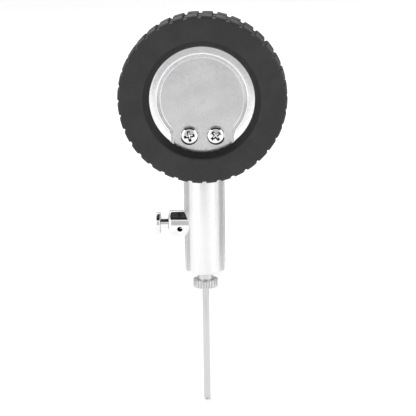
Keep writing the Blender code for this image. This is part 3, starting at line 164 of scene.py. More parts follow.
# Valve, needle and dial
VALVE_WALL = 1.1 * mm
VALVE_MOUTH = 1.75 * mm
VALVE_MOUTH_DEPTH = 1.2 * mm
PLUNGER_ROD = 0.7 * mm
PLUNGER_SHANK = 1.65 * mm
PLUNGER_TIP = 1.0 * mm
PLUNGER_FLANGE = 0.8 * mm
PLUNGER_FLANGE_SUNK = 1.3 * mm
BUTTON_BORE = 1.05 * mm
COLLAR_BORE = 1.05 * mm
KNURL_HEIGHT = 2.5 * mm
KNURL_REACH = 0.9 * mm
KNURL_FADE = 0.8 * mm
KNURL_STEPS = 8
THREAD_STEP = 0.08 * mm
THREAD_FADE = 0.6 * mm
O_RING_GROOVE = (7.65 * mm, 8.65 * mm)
O_RING_GROOVE_DEPTH = 0.54 * mm
NEEDLE_BORE = 0.6 * mm
BEZEL_OPENING = 17.1 * mm
BEZEL_WALL = 0.55 * mm
VENT_RADIUS = 0.78 * mm
VENT_FROM_END = 3.45 * mm
VENT_CLOCKING = math.radians(13.6)
KNURL_RIBS = 30
KNURL_DEPTH = 0.27 * mm
THREAD_PITCH = 0.8 * mm
THREAD_DEPTH = 0.28 * mm
THREAD_FROM = 4.8 * mm
NECK_RADIUS = 2.5 * mm
NEEDLE_PORT_HEIGHT = -31.5 * mm
NEEDLE_PORT_RADIUS = 0.4 * mm
DIAL_START = math.radians(225)
DIAL_SWEEP = math.radians(270)
DIAL_TOP_VALUE = 20
DIAL_BORE = 1.2 * mm
DIAL_HOLES = {"dial_screw_left": 0.5 * mm, "dial_screw_right": 0.5 * mm, "zero_stop_pin": 0.35 * mm}
SCALE_RADIUS = 16.3 * mm
SCALE_STEPS = 96
TICKS = ((10, 2.7 * mm, 0.42 * mm), (2, 1.9 * mm, 0.24 * mm), (1, 1.2 * mm, 0.16 * mm))
NUMBER_SIZE = 3.3 * mm
NUMBER_REACH = 11.4 * mm
INK_THICKNESS = 0.02 * mm
HUB_BORE = 0.375 * mm
HUB_NECK = 0.75 * mm
HUB_CAP_HEIGHT = 0.5 * mm
HUB_FLANGE_HEIGHT = 0.3 * mm


@functools.cache
def box(node):
    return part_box(node)


def low(node):
    return box(node)[0]


def high(node):
    return box(node)[1]


def middle(node):
    return (low(node) + high(node)) / 2


def half(node):
    return (high(node) - low(node)) / 2


HEAD = Vector((0, 0, middle("tyre_guard").z))


# Mesh helpers


def eased(points, cut, steps=4, closed=True):
    """A list of 2-D points with each corner rounded. A point may carry its own cut as a third number."""
    rounded = []
    count = len(points)
    for index, point in enumerate(points):
        here = Vector(point[:2])
        reach = point[2] if len(point) > 2 else cut
        if reach == 0 or (not closed and index in (0, count - 1)):
            rounded.append(tuple(here))
            continue
        before = Vector(points[index - 1][:2]) - here
        after = Vector(points[(index + 1) % count][:2]) - here
        start = here + before.normalized() * min(reach, before.length * 0.49)
        end = here + after.normalized() * min(reach, after.length * 0.49)
        for step in range(steps + 1):
            t = step / steps
            rounded.append(tuple(start * (1 - t) ** 2 + here * 2 * t * (1 - t) + end * t**2))
    return rounded


TURNS = {
    "Z": Matrix.Identity(4),
    "Y": Matrix.Rotation(-math.pi / 2, 4, "X"),
    "X": Matrix.Rotation(math.pi / 2, 4, "Y"),
}


def made(name, builder, material, at=(0, 0, 0), axis="Z", sharp=35):
    """Turns a bmesh into an object. Its own Z is turned to the axis and it is moved to the spot given."""
    bmesh.ops.recalc_face_normals(builder, faces=builder.faces)
    builder.transform(Matrix.Translation(Vector(at)) @ TURNS[axis])
    mesh = bpy.data.meshes.new(name)
    builder.to_mesh(mesh)
    builder.free()
    mesh.shade_smooth()
    mesh.set_sharp_from_angle(angle=math.radians(sharp))
    if material:
        mesh.materials.append(material)
    piece = bpy.data.objects.new(name, mesh)
    bpy.context.scene.collection.objects.link(piece)
    return piece


def lathe(name, outline, material, at=(0, 0, 0), axis="Z", sides=96, angles=None, shaped=None, sharp=35):
    """A solid of revolution from a closed outline, or from one that starts and ends on the axis."""
    builder = bmesh.new()
    if angles is None:
        angles = [2 * math.pi * side / sides for side in range(sides)]
    poles = {}
    rows = []
    for angle in angles:
        row = []
        for index, (radius, height) in enumerate(outline):
            if radius < 1e-9:
                if index not in poles:
                    poles[index] = builder.verts.new((0, 0, height))
                row.append(poles[index])
                continue
            if shaped:
                radius, height = shaped(angle, index, radius, height)
            row.append(builder.verts.new((radius * math.cos(angle), radius * math.sin(angle), height)))
        rows.append(row)
    for row, following in zip(rows, rows[1:] + rows[:1]):
        for index in range(len(row)):
            corners = [row[index - 1], row[index], following[index], following[index - 1]]
            corners = list(dict.fromkeys(corners))
            if len(corners) > 2:
                builder.faces.new(corners)
    return made(name, builder, material, at, axis, sharp)


def rod(name, radius, start, end, at=(0, 0, 0), axis="Z", sides=48):
    return lathe(name, [(0, start), (radius, start), (radius, end), (0, end)], None, at, axis, sides)


def bevelled(piece, width, segments=2, angle=30):
    modifier = piece.modifiers.new("edges", "BEVEL")
    modifier.width = width
    modifier.segments = segments
    modifier.limit_method = "ANGLE"
    modifier.angle_limit = math.radians(angle)
    modifier.harden_normals = False
    return piece


def settled(piece, sharp=35):
    """Applies the piece's modifiers."""
    graph = bpy.context.evaluated_depsgraph_get()
    mesh = bpy.data.meshes.new_from_object(piece.evaluated_get(graph))
    piece.modifiers.clear()
    piece.data = mesh
    mesh.shade_smooth()
    mesh.set_sharp_from_angle(angle=math.radians(sharp))
    return piece


def cut(piece, *tools, sharp=35):
    for tool in tools:
        modifier = piece.modifiers.new(tool.name, "BOOLEAN")
        modifier.operation = "DIFFERENCE"
        modifier.solver = "EXACT"
        modifier.object = tool
    settled(piece, sharp)
    for tool in tools:
        bpy.data.objects.remove(tool)
    return piece


def smooth_step(value):
    value = min(1.0, max(0.0, value))
    return value * value * (3 - 2 * value)


def smooth_min(a, b, width):
    share = max(0.0, 1 - abs(a - b) / width)
    return min(a, b) - share * share * width / 4


def kept(piece, body, slot, *nodes):
    """The piece rides on a body and stands for CAD nodes, which it hides; the slot is not used."""
    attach(piece, body)
    if nodes:
        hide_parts(*nodes)
    return piece


# Material helpers


class Look:
    """A material with one Principled shader and textures laid out in the object's own coordinates."""

    def __init__(self, name, colour, roughness, metallic=0.0, **more):
        self.material = bpy.data.materials.new(name)
        self.material.use_nodes = True
        self.nodes = self.material.node_tree.nodes
        self.links = self.material.node_tree.links
        self.shader = self.nodes["Principled BSDF"]
        self.place = self.nodes.new("ShaderNodeTexCoord").outputs["Object"]
        self.shader.inputs["Base Color"].default_value = (*colour, 1)
        self.shader.inputs["Roughness"].default_value = roughness
        self.shader.inputs["Metallic"].default_value = metallic
        for socket, value in more.items():
            self.shader.inputs[socket.replace("_", " ")].default_value = value
        self.bump_before = None

    def stretched(self, scale):
        mapping = self.nodes.new("ShaderNodeMapping")
        mapping.inputs["Scale"].default_value = scale
        self.links.new(self.place, mapping.inputs["Vector"])
        return mapping.outputs["Vector"]

    def noise(self, size, detail=3.0, stretch=(1, 1, 1), rough=0.5):
        """A noise whose features are about this size."""
        texture = self.nodes.new("ShaderNodeTexNoise")
        texture.inputs["Scale"].default_value = 1 / size
        texture.inputs["Detail"].default_value = detail
        texture.inputs["Roughness"].default_value = rough
        self.links.new(self.stretched(stretch), texture.inputs["Vector"])
        return texture.outputs["Fac"]

    def spread(self, value, from_low, from_high, to_low, to_high):
        node = self.nodes.new("ShaderNodeMapRange")
        node.interpolation_type = "SMOOTHSTEP"
        for socket, number in (
            ("From Min", from_low), ("From Max", from_high), ("To Min", to_low), ("To Max", to_high)
        ):
            node.inputs[socket].default_value = number
        self.links.new(value, node.inputs["Value"])
        return node.outputs["Result"]

    def vary_roughness(self, value, lowest, highest, start=0.35, end=0.65):
        self.links.new(self.spread(value, start, end, lowest, highest), self.shader.inputs["Roughness"])
        return self

    def vary_colour(self, value, dark, light, start=0.35, end=0.65):
        mix = self.nodes.new("ShaderNodeMix")
        mix.data_type = "RGBA"
        self.links.new(self.spread(value, start, end, 0, 1), mix.inputs["Factor"])
        mix.inputs["A"].default_value = (*dark, 1)
        mix.inputs["B"].default_value = (*light, 1)
        self.links.new(mix.outputs["Result"], self.shader.inputs["Base Color"])
        return self

    def bump(self, value, height, strength=1.0):
        node = self.nodes.new("ShaderNodeBump")
        node.inputs["Strength"].default_value = strength
        node.inputs["Distance"].default_value = height
        self.links.new(value, node.inputs["Height"])
        if self.bump_before:
            self.links.new(self.bump_before, node.inputs["Normal"])
        self.bump_before = node.outputs["Normal"]
        self.links.new(self.bump_before, self.shader.inputs["Normal"])
        return self


def guard_rubber():
    look = Look("guard_rubber", (0.027, 0.027, 0.028), 0.55, Specular_IOR_Level=0.3)
    look.vary_colour(look.noise(6 * mm, 4), (0.024, 0.024, 0.025), (0.029, 0.029, 0.03))
    look.vary_roughness(look.noise(0.8 * mm, 5), 0.45, 0.62)
    look.bump(look.noise(0.22 * mm, 2), 0.012 * mm, 0.6)
    look.bump(look.noise(2.5 * mm, 2), 0.03 * mm, 0.4)
    return look.material


# A smoother rubber for the guard's inner lip. The lower roughness is the smoother moulded face; the darker
# colour is painted shade where the lip slopes inward.
def guard_lip_rubber():
    look = Look("guard_lip_rubber", (0.012, 0.012, 0.012), 0.4, Specular_IOR_Level=0.3)
    look.vary_roughness(look.noise(0.8 * mm, 4), 0.34, 0.46)
    look.bump(look.noise(0.22 * mm, 2), 0.006 * mm, 0.5)
    return look.material


def seal_rubber():
    look = Look("seal_rubber", (0.02, 0.02, 0.02), 0.5)
    look.vary_roughness(look.noise(0.5 * mm), 0.4, 0.6)
    look.bump(look.noise(0.15 * mm), 0.006 * mm, 0.5)
    return look.material


def case_nickel():
    look = Look("case_nickel", (0.62, 0.62, 0.63), 0.34, 1.0)
    look.vary_colour(look.noise(7 * mm, 4), (0.59, 0.59, 0.6), (0.65, 0.65, 0.65))
    look.vary_roughness(look.noise(1.2 * mm, 5), 0.26, 0.4)
    look.bump(look.noise(0.55 * mm, 3, rough=0.6), 0.012 * mm, 0.55)
    look.bump(look.noise(3.5 * mm, 2), 0.05 * mm, 0.35)
    return look.material


def case_polish():
    look = Look("case_polish", (0.86, 0.86, 0.87), 0.16, 1.0)
    look.vary_colour(look.noise(7 * mm, 4), (0.83, 0.83, 0.84), (0.89, 0.89, 0.89))
    look.vary_roughness(look.noise(0.9 * mm, 5), 0.1, 0.22)
    look.bump(look.noise(1.6 * mm, 2), 0.01 * mm, 0.4)
    return look.material


def stem_chrome():
    look = Look("stem_chrome", (0.78, 0.78, 0.79), 0.25, 1.0)
    look.vary_colour(look.noise(5 * mm, 4, (1, 1, 0.12)), (0.74, 0.74, 0.75), (0.83, 0.83, 0.83))
    look.vary_roughness(look.noise(1.5 * mm, 5, (1, 1, 0.08)), 0.18, 0.34)
    look.bump(look.noise(1.2 * mm, 3, (1, 1, 0.05)), 0.01 * mm, 0.4)
    look.bump(look.noise(0.3 * mm, 3), 0.003 * mm, 0.4)
    return look.material


def bright_chrome(name="bright_chrome", least=0.04, most=0.12):
    look = Look(name, (0.82, 0.82, 0.83), 0.06, 1.0)
    look.vary_colour(look.noise(3 * mm, 3), (0.79, 0.79, 0.8), (0.85, 0.85, 0.85))
    look.vary_roughness(look.noise(0.9 * mm, 5), least, most)
    look.bump(look.noise(1.4 * mm, 2), 0.006 * mm, 0.35)
    return look.material


# Near-black metal for the walls of the screws' cross recesses: painted shade in the recess.
def screw_recess():
    look = Look("screw_recess", (0.05, 0.05, 0.05), 0.5, 1.0)
    look.vary_roughness(look.noise(0.3 * mm, 3), 0.42, 0.6)
    return look.material


def collar_chrome():
    look = Look("collar_chrome", (0.6, 0.6, 0.61), 0.14, 1.0)
    look.vary_roughness(look.noise(0.6 * mm, 4), 0.1, 0.2)
    look.bump(look.noise(0.5 * mm, 2), 0.004 * mm, 0.35)
    return look.material


def needle_steel():
    look = Look("needle_steel", (0.59, 0.59, 0.6), 0.2, 1.0)
    look.vary_colour(look.noise(2 * mm, 3, (1, 1, 0.1)), (0.56, 0.56, 0.57), (0.62, 0.62, 0.62))
    look.vary_roughness(look.noise(0.3 * mm, 4, (1, 1, 0.05)), 0.14, 0.28)
    look.bump(look.noise(0.2 * mm, 2, (1, 1, 0.04)), 0.003 * mm, 0.4)
    return look.material


def small_steel():
    look = Look("small_steel", (0.5, 0.51, 0.52), 0.3, 1.0)
    look.vary_roughness(look.noise(0.5 * mm, 4), 0.22, 0.38)
    look.bump(look.noise(0.25 * mm, 3), 0.004 * mm, 0.4)
    return look.material


def brass():
    look = Look("brass", (0.72, 0.5, 0.22), 0.28, 1.0)
    look.vary_colour(look.noise(2.5 * mm, 4), (0.66, 0.44, 0.18), (0.76, 0.55, 0.27))
    look.vary_roughness(look.noise(0.6 * mm, 4), 0.2, 0.36)
    look.bump(look.noise(0.4 * mm, 3, (1, 1, 0.2)), 0.004 * mm, 0.4)
    return look.material


def window_glass():
    look = Look("window_glass", (1, 1, 1), 0.02, 0.0, Transmission_Weight=1.0, IOR=1.47)
    look.vary_roughness(look.noise(4 * mm, 4), 0.0, 0.03)
    return look.material


def dial_white():
    look = Look("dial_white", (0.83, 0.83, 0.81), 0.4)
    look.vary_colour(look.noise(5 * mm, 3), (0.8, 0.8, 0.78), (0.85, 0.85, 0.83))
    look.vary_roughness(look.noise(1 * mm, 3), 0.34, 0.46)
    look.bump(look.noise(0.3 * mm, 3), 0.003 * mm, 0.4)
    return look.material


def dial_ink():
    look = Look("dial_ink", (0.015, 0.015, 0.016), 0.4)
    look.vary_roughness(look.noise(0.4 * mm), 0.32, 0.5)
    return look.material


def pointer_black():
    look = Look("pointer_black", (0.02, 0.02, 0.021), 0.35)
    look.vary_roughness(look.noise(0.5 * mm), 0.28, 0.42)
    look.bump(look.noise(0.2 * mm), 0.003 * mm, 0.4)
    return look.material


# Pieces


def tyre(material, lip_painted_shade):
    radius = half("tyre_guard").x
    rear, front = high("tyre_guard").y, low("tyre_guard").y
    edge = radius - GUARD_CROWN_DROP
    floor = radius - GROOVE_DEPTH
    case_radius = half("gauge_case").x
    lip_under = high("gauge_case").y + CASE_CLEARANCE / 2
    corner = CASE_CORNER + CASE_CLEARANCE
    corner_r, corner_y = case_radius - CASE_CORNER, high("gauge_case").y - BEAD_FALL - CASE_CORNER
    groove = []
    for place in (GROOVE_OFFSET, -GROOVE_OFFSET):
        near, far = place + GROOVE_HALF_WIDTH, place - GROOVE_HALF_WIDTH
        groove += [
            (radius, near, 0.18 * mm),
            (floor, near, 0.12 * mm),
            (floor, far, 0.12 * mm),
            (radius, far, 0.18 * mm),
        ]
    corner_arc = [
        (corner_r + corner * math.cos(turn), corner_y + corner * math.sin(turn), 0)
        for turn in map(math.radians, range(0, 91, 15))
    ]
    outline = [
        (GUARD_REAR_OPENING, lip_under + CASE_CLEARANCE, 0.08 * mm),
        (GUARD_LIP_CORNER, rear, 0.45 * mm),
        (edge - GUARD_SHOULDER, rear, 0.3 * mm),
        (edge, rear - GUARD_SHOULDER, 0.3 * mm),
        *groove,
        (edge, front + GUARD_SHOULDER, 0.3 * mm),
        (edge - GUARD_SHOULDER, front, 0.3 * mm),
        (GUARD_FRONT_OPENING, front, 0.25 * mm),
        (GUARD_FRONT_OPENING, front + GUARD_FRONT_LIP, 0.1 * mm),
        (GUARD_CAVITY, front + GUARD_FRONT_LIP, 0),
        (GUARD_CAVITY, GUARD_CAVITY_STEP, 0),
        (case_radius + CASE_CLEARANCE, GUARD_CAVITY_STEP, 0),
        *corner_arc,
        (GUARD_REAR_OPENING, lip_under, 0),
    ]
    outline = eased(outline, 0, steps=3)
    share_at = {}
    angles = []
    for notch in range(NOTCH_COUNT):
        centre = NOTCH_PHASE + 2 * math.pi * notch / NOTCH_COUNT
        for offset, share in NOTCH_SHAPE:
            angle = centre + offset * mm / radius
            angles.append(angle)
            share_at[angle] = share
    inner_edge = edge - GUARD_SHOULDER
    notch_floor = floor - GUARD_CROWN_DROP

    def shaped(angle, index, r, y):
        """Sinks the tread at a notch. The depth runs out over the shoulder."""
        if r <= inner_edge or not front < y < rear:
            return r, y
        reach = smooth_step((r - inner_edge) / (edge - inner_edge) * 0.75)
        sunk = NOTCH_DEPTH * share_at[angle] * reach
        return max(min(r, notch_floor), r - sunk), y

    guard = lathe("guard_tyre", outline, material, HEAD, "Y", angles=angles, shaped=shaped, sharp=42)
    # Faces inside the rear lip take the darker rubber, which paints in the lip's shade.
    guard.data.materials.append(lip_painted_shade)
    for face in guard.data.polygons:
        spot = face.center - HEAD
        if spot.y > 0 and math.hypot(spot.x, spot.z) < GUARD_LIP_CORNER - LIP_SHADE_MARGIN:
            face.material_index = 1
    for vert in guard.data.vertices:
        vert.co.z = min(vert.co.z, high("tyre_guard").z)
    stem_bottom, stem_radius = low("stem_body").z, half("stem_body").x
    hole = rod("hole", stem_radius + 0.05 * mm, stem_bottom, HEAD.z - GUARD_REAR_OPENING, sides=96)
    return cut(guard, hole, sharp=42)


def case_level(x, z, crest, recess):
    """How far back the pressed case stands at this spot, measured from the dial's axis."""
    radius = math.hypot(x, z)
    to_slot = max(abs(x) - KEYHOLE_HALF_WIDTH, z)
    outside = smooth_min(radius - RECESS_RADIUS, to_slot * BEAD_SLOPE / KEYHOLE_SLOPE, 1.2 * mm)
    pressed = recess + (crest - recess) * smooth_step(outside / BEAD_SLOPE)
    corner_start = half("gauge_case").x - CASE_CORNER
    rim = crest - BEAD_FALL
    if radius <= corner_start:
        share = max(0, radius - BEAD_MIDDLE) / (corner_start - BEAD_MIDDLE)
        cap = crest - BEAD_FALL * share**2
    else:
        reach = min(CASE_CORNER, radius - corner_start)
        cap = rim - CASE_CORNER + math.sqrt(CASE_CORNER**2 - reach**2)
    return min(cap, smooth_min(pressed, cap, 0.1 * mm) + 0.025 * mm)


def case_back(material, polish):
    radius = half("gauge_case").x
    crest = high("gauge_case").y
    recess = crest - RECESS_DEPTH
    front = low("gauge_case").y
    corner_start = radius - CASE_CORNER
    radii = [share * mm for share in (0.6, 2, 3.5, 5, 6.5, 7.5)]
    radii += [(8.2 + 0.25 * step) * mm for step in range(14)]
    radii += [(11.7 + 0.1 * step) * mm for step in range(18)]
    radii += [(13.55 + 0.2 * step) * mm for step in range(12)]
    radii += [corner_start + CASE_CORNER * math.sin(math.radians(turn)) for turn in range(0, 91, 6)]
    builder = bmesh.new()
    centre = builder.verts.new((0, recess, 0))
    inner_centre = builder.verts.new((0, recess - CASE_WALL, 0))
    inside = [
        (RECESS_RADIUS * 0.6, recess - CASE_WALL),
        (radius * 0.75, recess - CASE_WALL),
        (radius - CASE_WALL, recess - CASE_CORNER),
        (radius - CASE_WALL, front + CASE_RIM),
    ]
    rim = [
        (radius, front + CASE_RIM),
        (radius - CASE_RIM, front),
        (radius - CASE_WALL + CASE_RIM, front),
    ]
    rows = []
    for side in range(CASE_SIDES):
        angle = 2 * math.pi * side / CASE_SIDES
        cos, sin = math.cos(angle), math.sin(angle)
        row = [centre]
        for r in radii:
            level = case_level(r * cos, r * sin, crest, recess)
            row.append(builder.verts.new((r * cos, level, r * sin)))
        for r, y in rim:
            row.append(builder.verts.new((r * cos, y, r * sin)))
        for r, y in reversed(inside):
            row.append(builder.verts.new((r * cos, y, r * sin)))
        row.append(inner_centre)
        rows.append(row)
    for row, following in zip(rows, rows[1:] + rows[:1]):
        for index in range(1, len(row)):
            corners = [row[index - 1], row[index], following[index], following[index - 1]]
            builder.faces.new(list(dict.fromkeys(corners)))
    case = made("case_back", builder, material, HEAD, sharp=60)
    case.data.materials.append(polish)
    for face in case.data.polygons:
        if face.center.y - HEAD.y > recess + POLISH_FROM:
            face.material_index = 1
    return case


def cross_recess(name, spot, top):
    """The tapered cross that is cut into a screw's head."""
    builder = bmesh.new()
    rings = []
    for level, across, thick in CROSS_LEVELS:
        corners = [(across, thick), (thick, thick), (thick, across)]
        ring = []
        for quarter in range(4):
            cos, sin = round(math.cos(quarter * math.pi / 2)), round(math.sin(quarter * math.pi / 2))
            for x, z in corners:
                ring.append(builder.verts.new((x * cos - z * sin, top + level, x * sin + z * cos)))
        rings.append(ring)
        builder.faces.new(ring)
    outer, deep = rings
    for index in range(len(outer)):
        builder.faces.new((outer[index - 1], outer[index], deep[index], deep[index - 1]))
    return made(name, builder, None, (spot.x, 0, spot.z))


def pan_head_screw(side, material, recess):
    node = f"case_screw_{side}"
    spot = middle(node)
    radius = half(node).x
    top = high(node).y
    seat = top - SCREW_HEAD_HEIGHT
    outline = eased(
        [
            (0, low(node).y, 0),
            (SCREW_SHANK_RADIUS, low(node).y, 0.2 * mm),
            (SCREW_SHANK_RADIUS, seat, 0),
            (radius, seat, 0.12 * mm),
            (radius, seat + SCREW_RIM_HEIGHT, 0.5 * mm),
            (radius * 0.74, top - 0.12 * mm, 0.7 * mm),
            (radius * 0.3, top, 0.5 * mm),
            (0, top, 0),
        ],
        0,
        closed=False,
    )
    screw = lathe(f"case_screw_head_{side}", outline, material, (spot.x, 0, spot.z), "Y", sides=64)
    cut(screw, cross_recess(f"cross_{side}", spot, top))
    # The cross's walls take the near-black finish, which paints in the recess's shade.
    screw.data.materials.append(recess)
    for face in screw.data.polygons:
        reach = math.hypot(face.center.x - spot.x, face.center.z - spot.z)
        inside = reach < CROSS_LEVELS[0][1] and seat < face.center.y < top - CROSS_SHADE_DEPTH
        if inside and abs(face.normal.y) < CROSS_FLOOR_FACING:
            face.material_index = 1
    turn_about(screw, (spot.x, 0, spot.z), "Y", SCREW_TURNS[side])
    return screw


def turn_about(piece, spot, axis, angle):
    spot = Vector(spot)
    turn = Matrix.Translation(spot) @ Matrix.Rotation(angle, 4, axis) @ Matrix.Translation(-spot)
    piece.data.transform(turn)


def stem(material):
    radius = half("stem_body").x
    bottom, top = low("stem_body").z, high("stem_body").z
    outline = eased(
        [
            (NECK_BORE, bottom, 0.15 * mm),
            (radius - STEM_CHAMFER, bottom, 0.3 * mm),
            (radius, bottom + STEM_CHAMFER, 0.45 * mm),
            (radius, top, 0.1 * mm),
            (SPIGOT_BORE, top, 0),
            (SPIGOT_BORE, top - SPIGOT_DEPTH, 0),
            (AIR_WAY_RADIUS, top - SPIGOT_DEPTH, 0),
            (AIR_WAY_RADIUS, AIR_WAY_FROM, 0),
            (NECK_BORE, AIR_WAY_FROM, 0),
        ],
        0,
    )
    tube = lathe("stem_tube", outline, material, sides=160)
    valve = middle("bleed_valve_body")
    valve_bore = half("bleed_valve_body").z + FIT
    deep, step, mouth = POCKET_REACH
    pocket = lathe(
        "valve_pocket",
        [
            (0, deep),
            (POCKET_BORE, deep),
            (POCKET_BORE, step),
            (valve_bore, step),
            (valve_bore, mouth),
            (0, mouth),
        ],
        None,
        (0, 0, valve.z),
        "X",
        sides=96,
    )
    cut(tube, pocket, sharp=30)
    return bevelled(tube, 0.14 * mm, 3, 40)


def valve_housing(material):
    node = "bleed_valve_body"
    radius = half(node).z
    start, end = low(node).x, high(node).x
    outline = eased(
        [
            (radius - VALVE_WALL, start, 0),
            (radius, start, 0.1 * mm),
            (radius, end, 1.25 * mm),
            (VALVE_MOUTH, end, 0.15 * mm),
            (VALVE_MOUTH, end - VALVE_MOUTH_DEPTH, 0),
            (radius - VALVE_WALL, end - VALVE_MOUTH_DEPTH, 0),
        ],
        0,
        steps=8,
    )
    housing = lathe("valve_housing", outline, material, (0, 0, middle(node).z), "X", sides=96)
    vent = rod("vent", VENT_RADIUS, 1.4 * mm, 6 * mm, sides=48)
    vent.data.transform(Matrix.Rotation(-math.pi / 2 - VENT_CLOCKING, 4, "X"))
    vent.data.transform(Matrix.Translation((end - VENT_FROM_END, 0, middle(node).z)))
    cut(housing, vent, sharp=30)
    return bevelled(housing, 0.08 * mm, 3, 40)


def plunger(material):
    node = "bleed_plunger"
    start, end = low(node).x, high(node).x
    shown_end = low("bleed_button").x - 0.05 * mm
    flange_end = high("bleed_valve_body").x - PLUNGER_FLANGE_SUNK
    flange_start = flange_end - PLUNGER_FLANGE
    outline = eased(
        [
            (0, start, 0),
            (PLUNGER_ROD, start, 0.15 * mm),
            (PLUNGER_ROD, flange_start, 0),
            (half(node).z, flange_start, 0.1 * mm),
            (half(node).z, flange_end, 0.1 * mm),
            (PLUNGER_SHANK, flange_end, 0),
            (PLUNGER_SHANK, shown_end, 0),
            (PLUNGER_TIP, shown_end, 0),
            (PLUNGER_TIP, end, 0.12 * mm),
            (0, end, 0),
        ],
        0,
        closed=False,
    )
    return lathe("valve_plunger", outline, material, (0, 0, middle(node).z), "X", sides=64)


def button(material):
    node = "bleed_button"
    radius = half(node).z
    start, end = low(node).x, high(node).x
    outline = eased(
        [
            (BUTTON_BORE, start, 0),
            (radius, start, 0.45 * mm),
            (radius, end, 0.5 * mm),
            (BUTTON_BORE, end, 0.12 * mm),
        ],
        0,
        steps=7,
    )
    return lathe("valve_button", outline, material, (0, 0, middle(node).z), "X", sides=96)


def collar(material):
    node = "needle_collar"
    radius = half(node).x
    top = high(node).z
    knurled = eased(
        [
            (COLLAR_BORE, 0, 0.1 * mm),
            (radius - 0.1 * mm, 0, 0.45 * mm),
            (radius - 0.1 * mm, KNURL_HEIGHT, 0.45 * mm),
            (NECK_RADIUS, KNURL_HEIGHT, 0.15 * mm),
        ],
        0,
        steps=5,
        closed=False,
    )
    neck = top - KNURL_HEIGHT
    rows = int(neck / THREAD_STEP)
    thread = [(NECK_RADIUS, KNURL_HEIGHT + neck * row / rows) for row in range(1, rows + 1)]
    outline = [*knurled, *thread, (COLLAR_BORE, top)]
    thread_start = len(knurled)
    thread_end = len(knurled) + len(thread) - 1
    knurl_from = radius - KNURL_REACH
    steps = KNURL_RIBS * KNURL_STEPS

    def shaped(angle, index, r, h):
        if thread_start <= index < thread_end:
            if O_RING_GROOVE[0] < h < O_RING_GROOVE[1]:
                return NECK_RADIUS - O_RING_GROOVE_DEPTH, h
            wave = 0.5 + 0.5 * math.cos(2 * math.pi * h / THREAD_PITCH - angle)
            fade = smooth_step((h - THREAD_FROM) / THREAD_FADE)
            return r - THREAD_DEPTH * wave**1.5 * fade, h
        if index < thread_start and r > knurl_from:
            wave = 0.5 + 0.5 * math.cos(angle * KNURL_RIBS)
            valley = smooth_step((wave - 0.5) * 2.2)
            reach = smooth_step((r - knurl_from) / KNURL_FADE)
            return r - KNURL_DEPTH * valley * reach, h
        return r, h

    angles = [2 * math.pi * step / steps for step in range(steps)]
    return lathe("needle_collar_knurled", outline, material, angles=angles, shaped=shaped, sharp=50)


def needle_tube(material):
    node = "needle_tube"
    radius = half(node).x
    bottom, top = low(node).z, high(node).z
    tip = [
        (radius * math.sin(math.radians(turn)), bottom + radius * 0.95 * (1 - math.cos(math.radians(turn))))
        for turn in range(0, 91, 10)
    ]
    outline = [
        *tip,
        (radius, top),
        (NEEDLE_BORE, top),
        (NEEDLE_BORE, bottom + 2 * mm),
        (0, bottom + 1.7 * mm),
    ]
    tube = lathe("needle_shaft", outline, material, sides=48)
    port = rod("port", NEEDLE_PORT_RADIUS, -3 * mm, 3 * mm, (0, 0, NEEDLE_PORT_HEIGHT), "X", sides=24)
    cut(tube, port)
    return bevelled(tube, 0.05 * mm, 2, 40)


def bezel(material):
    node = "bezel_ring"
    radius = half(node).x
    front, rear = low(node).y, high(node).y
    outline = eased(
        [
            (BEZEL_OPENING, front + BEZEL_WALL, 0.1 * mm),
            (BEZEL_OPENING, front, 0.2 * mm),
            (radius, front, 0.45 * mm),
            (radius, rear, 0.15 * mm),
            (radius - BEZEL_WALL, rear, 0.1 * mm),
            (radius - BEZEL_WALL, front + BEZEL_WALL, 0.1 * mm),
        ],
        0,
        steps=5,
    )
    return lathe("bezel", outline, material, HEAD, "Y", sides=160)


def window(material):
    node = "lens"
    radius = half(node).x
    front, rear = low(node).y, high(node).y
    outline = eased(
        [(0, front, 0), (radius, front, 0.15 * mm), (radius, rear, 0.1 * mm), (0, rear, 0)],
        0,
        closed=False,
    )
    return lathe("window", outline, material, HEAD, "Y", sides=160)


def dial_face(material):
    """The dial with its holes, rounded a little at the rim."""
    node = "dial_plate"
    radius = half(node).x
    front, rear = low(node).y, high(node).y
    outline = eased(
        [
            (DIAL_BORE, front, 0.05 * mm),
            (radius, front, 0.1 * mm),
            (radius, rear, 0.05 * mm),
            (DIAL_BORE, rear, 0.05 * mm),
        ],
        0,
    )
    face = lathe("dial_face", outline, material, HEAD, "Y", sides=160)
    holes = []
    for name, hole_radius in DIAL_HOLES.items():
        spot = middle(name)
        holes.append(rod(f"hole_{name}", hole_radius, -6 * mm, -2 * mm, (spot.x, 0, spot.z), "Y", 24))
    return cut(face, *holes)


def dial_turn(value):
    return DIAL_START - DIAL_SWEEP * value / DIAL_TOP_VALUE


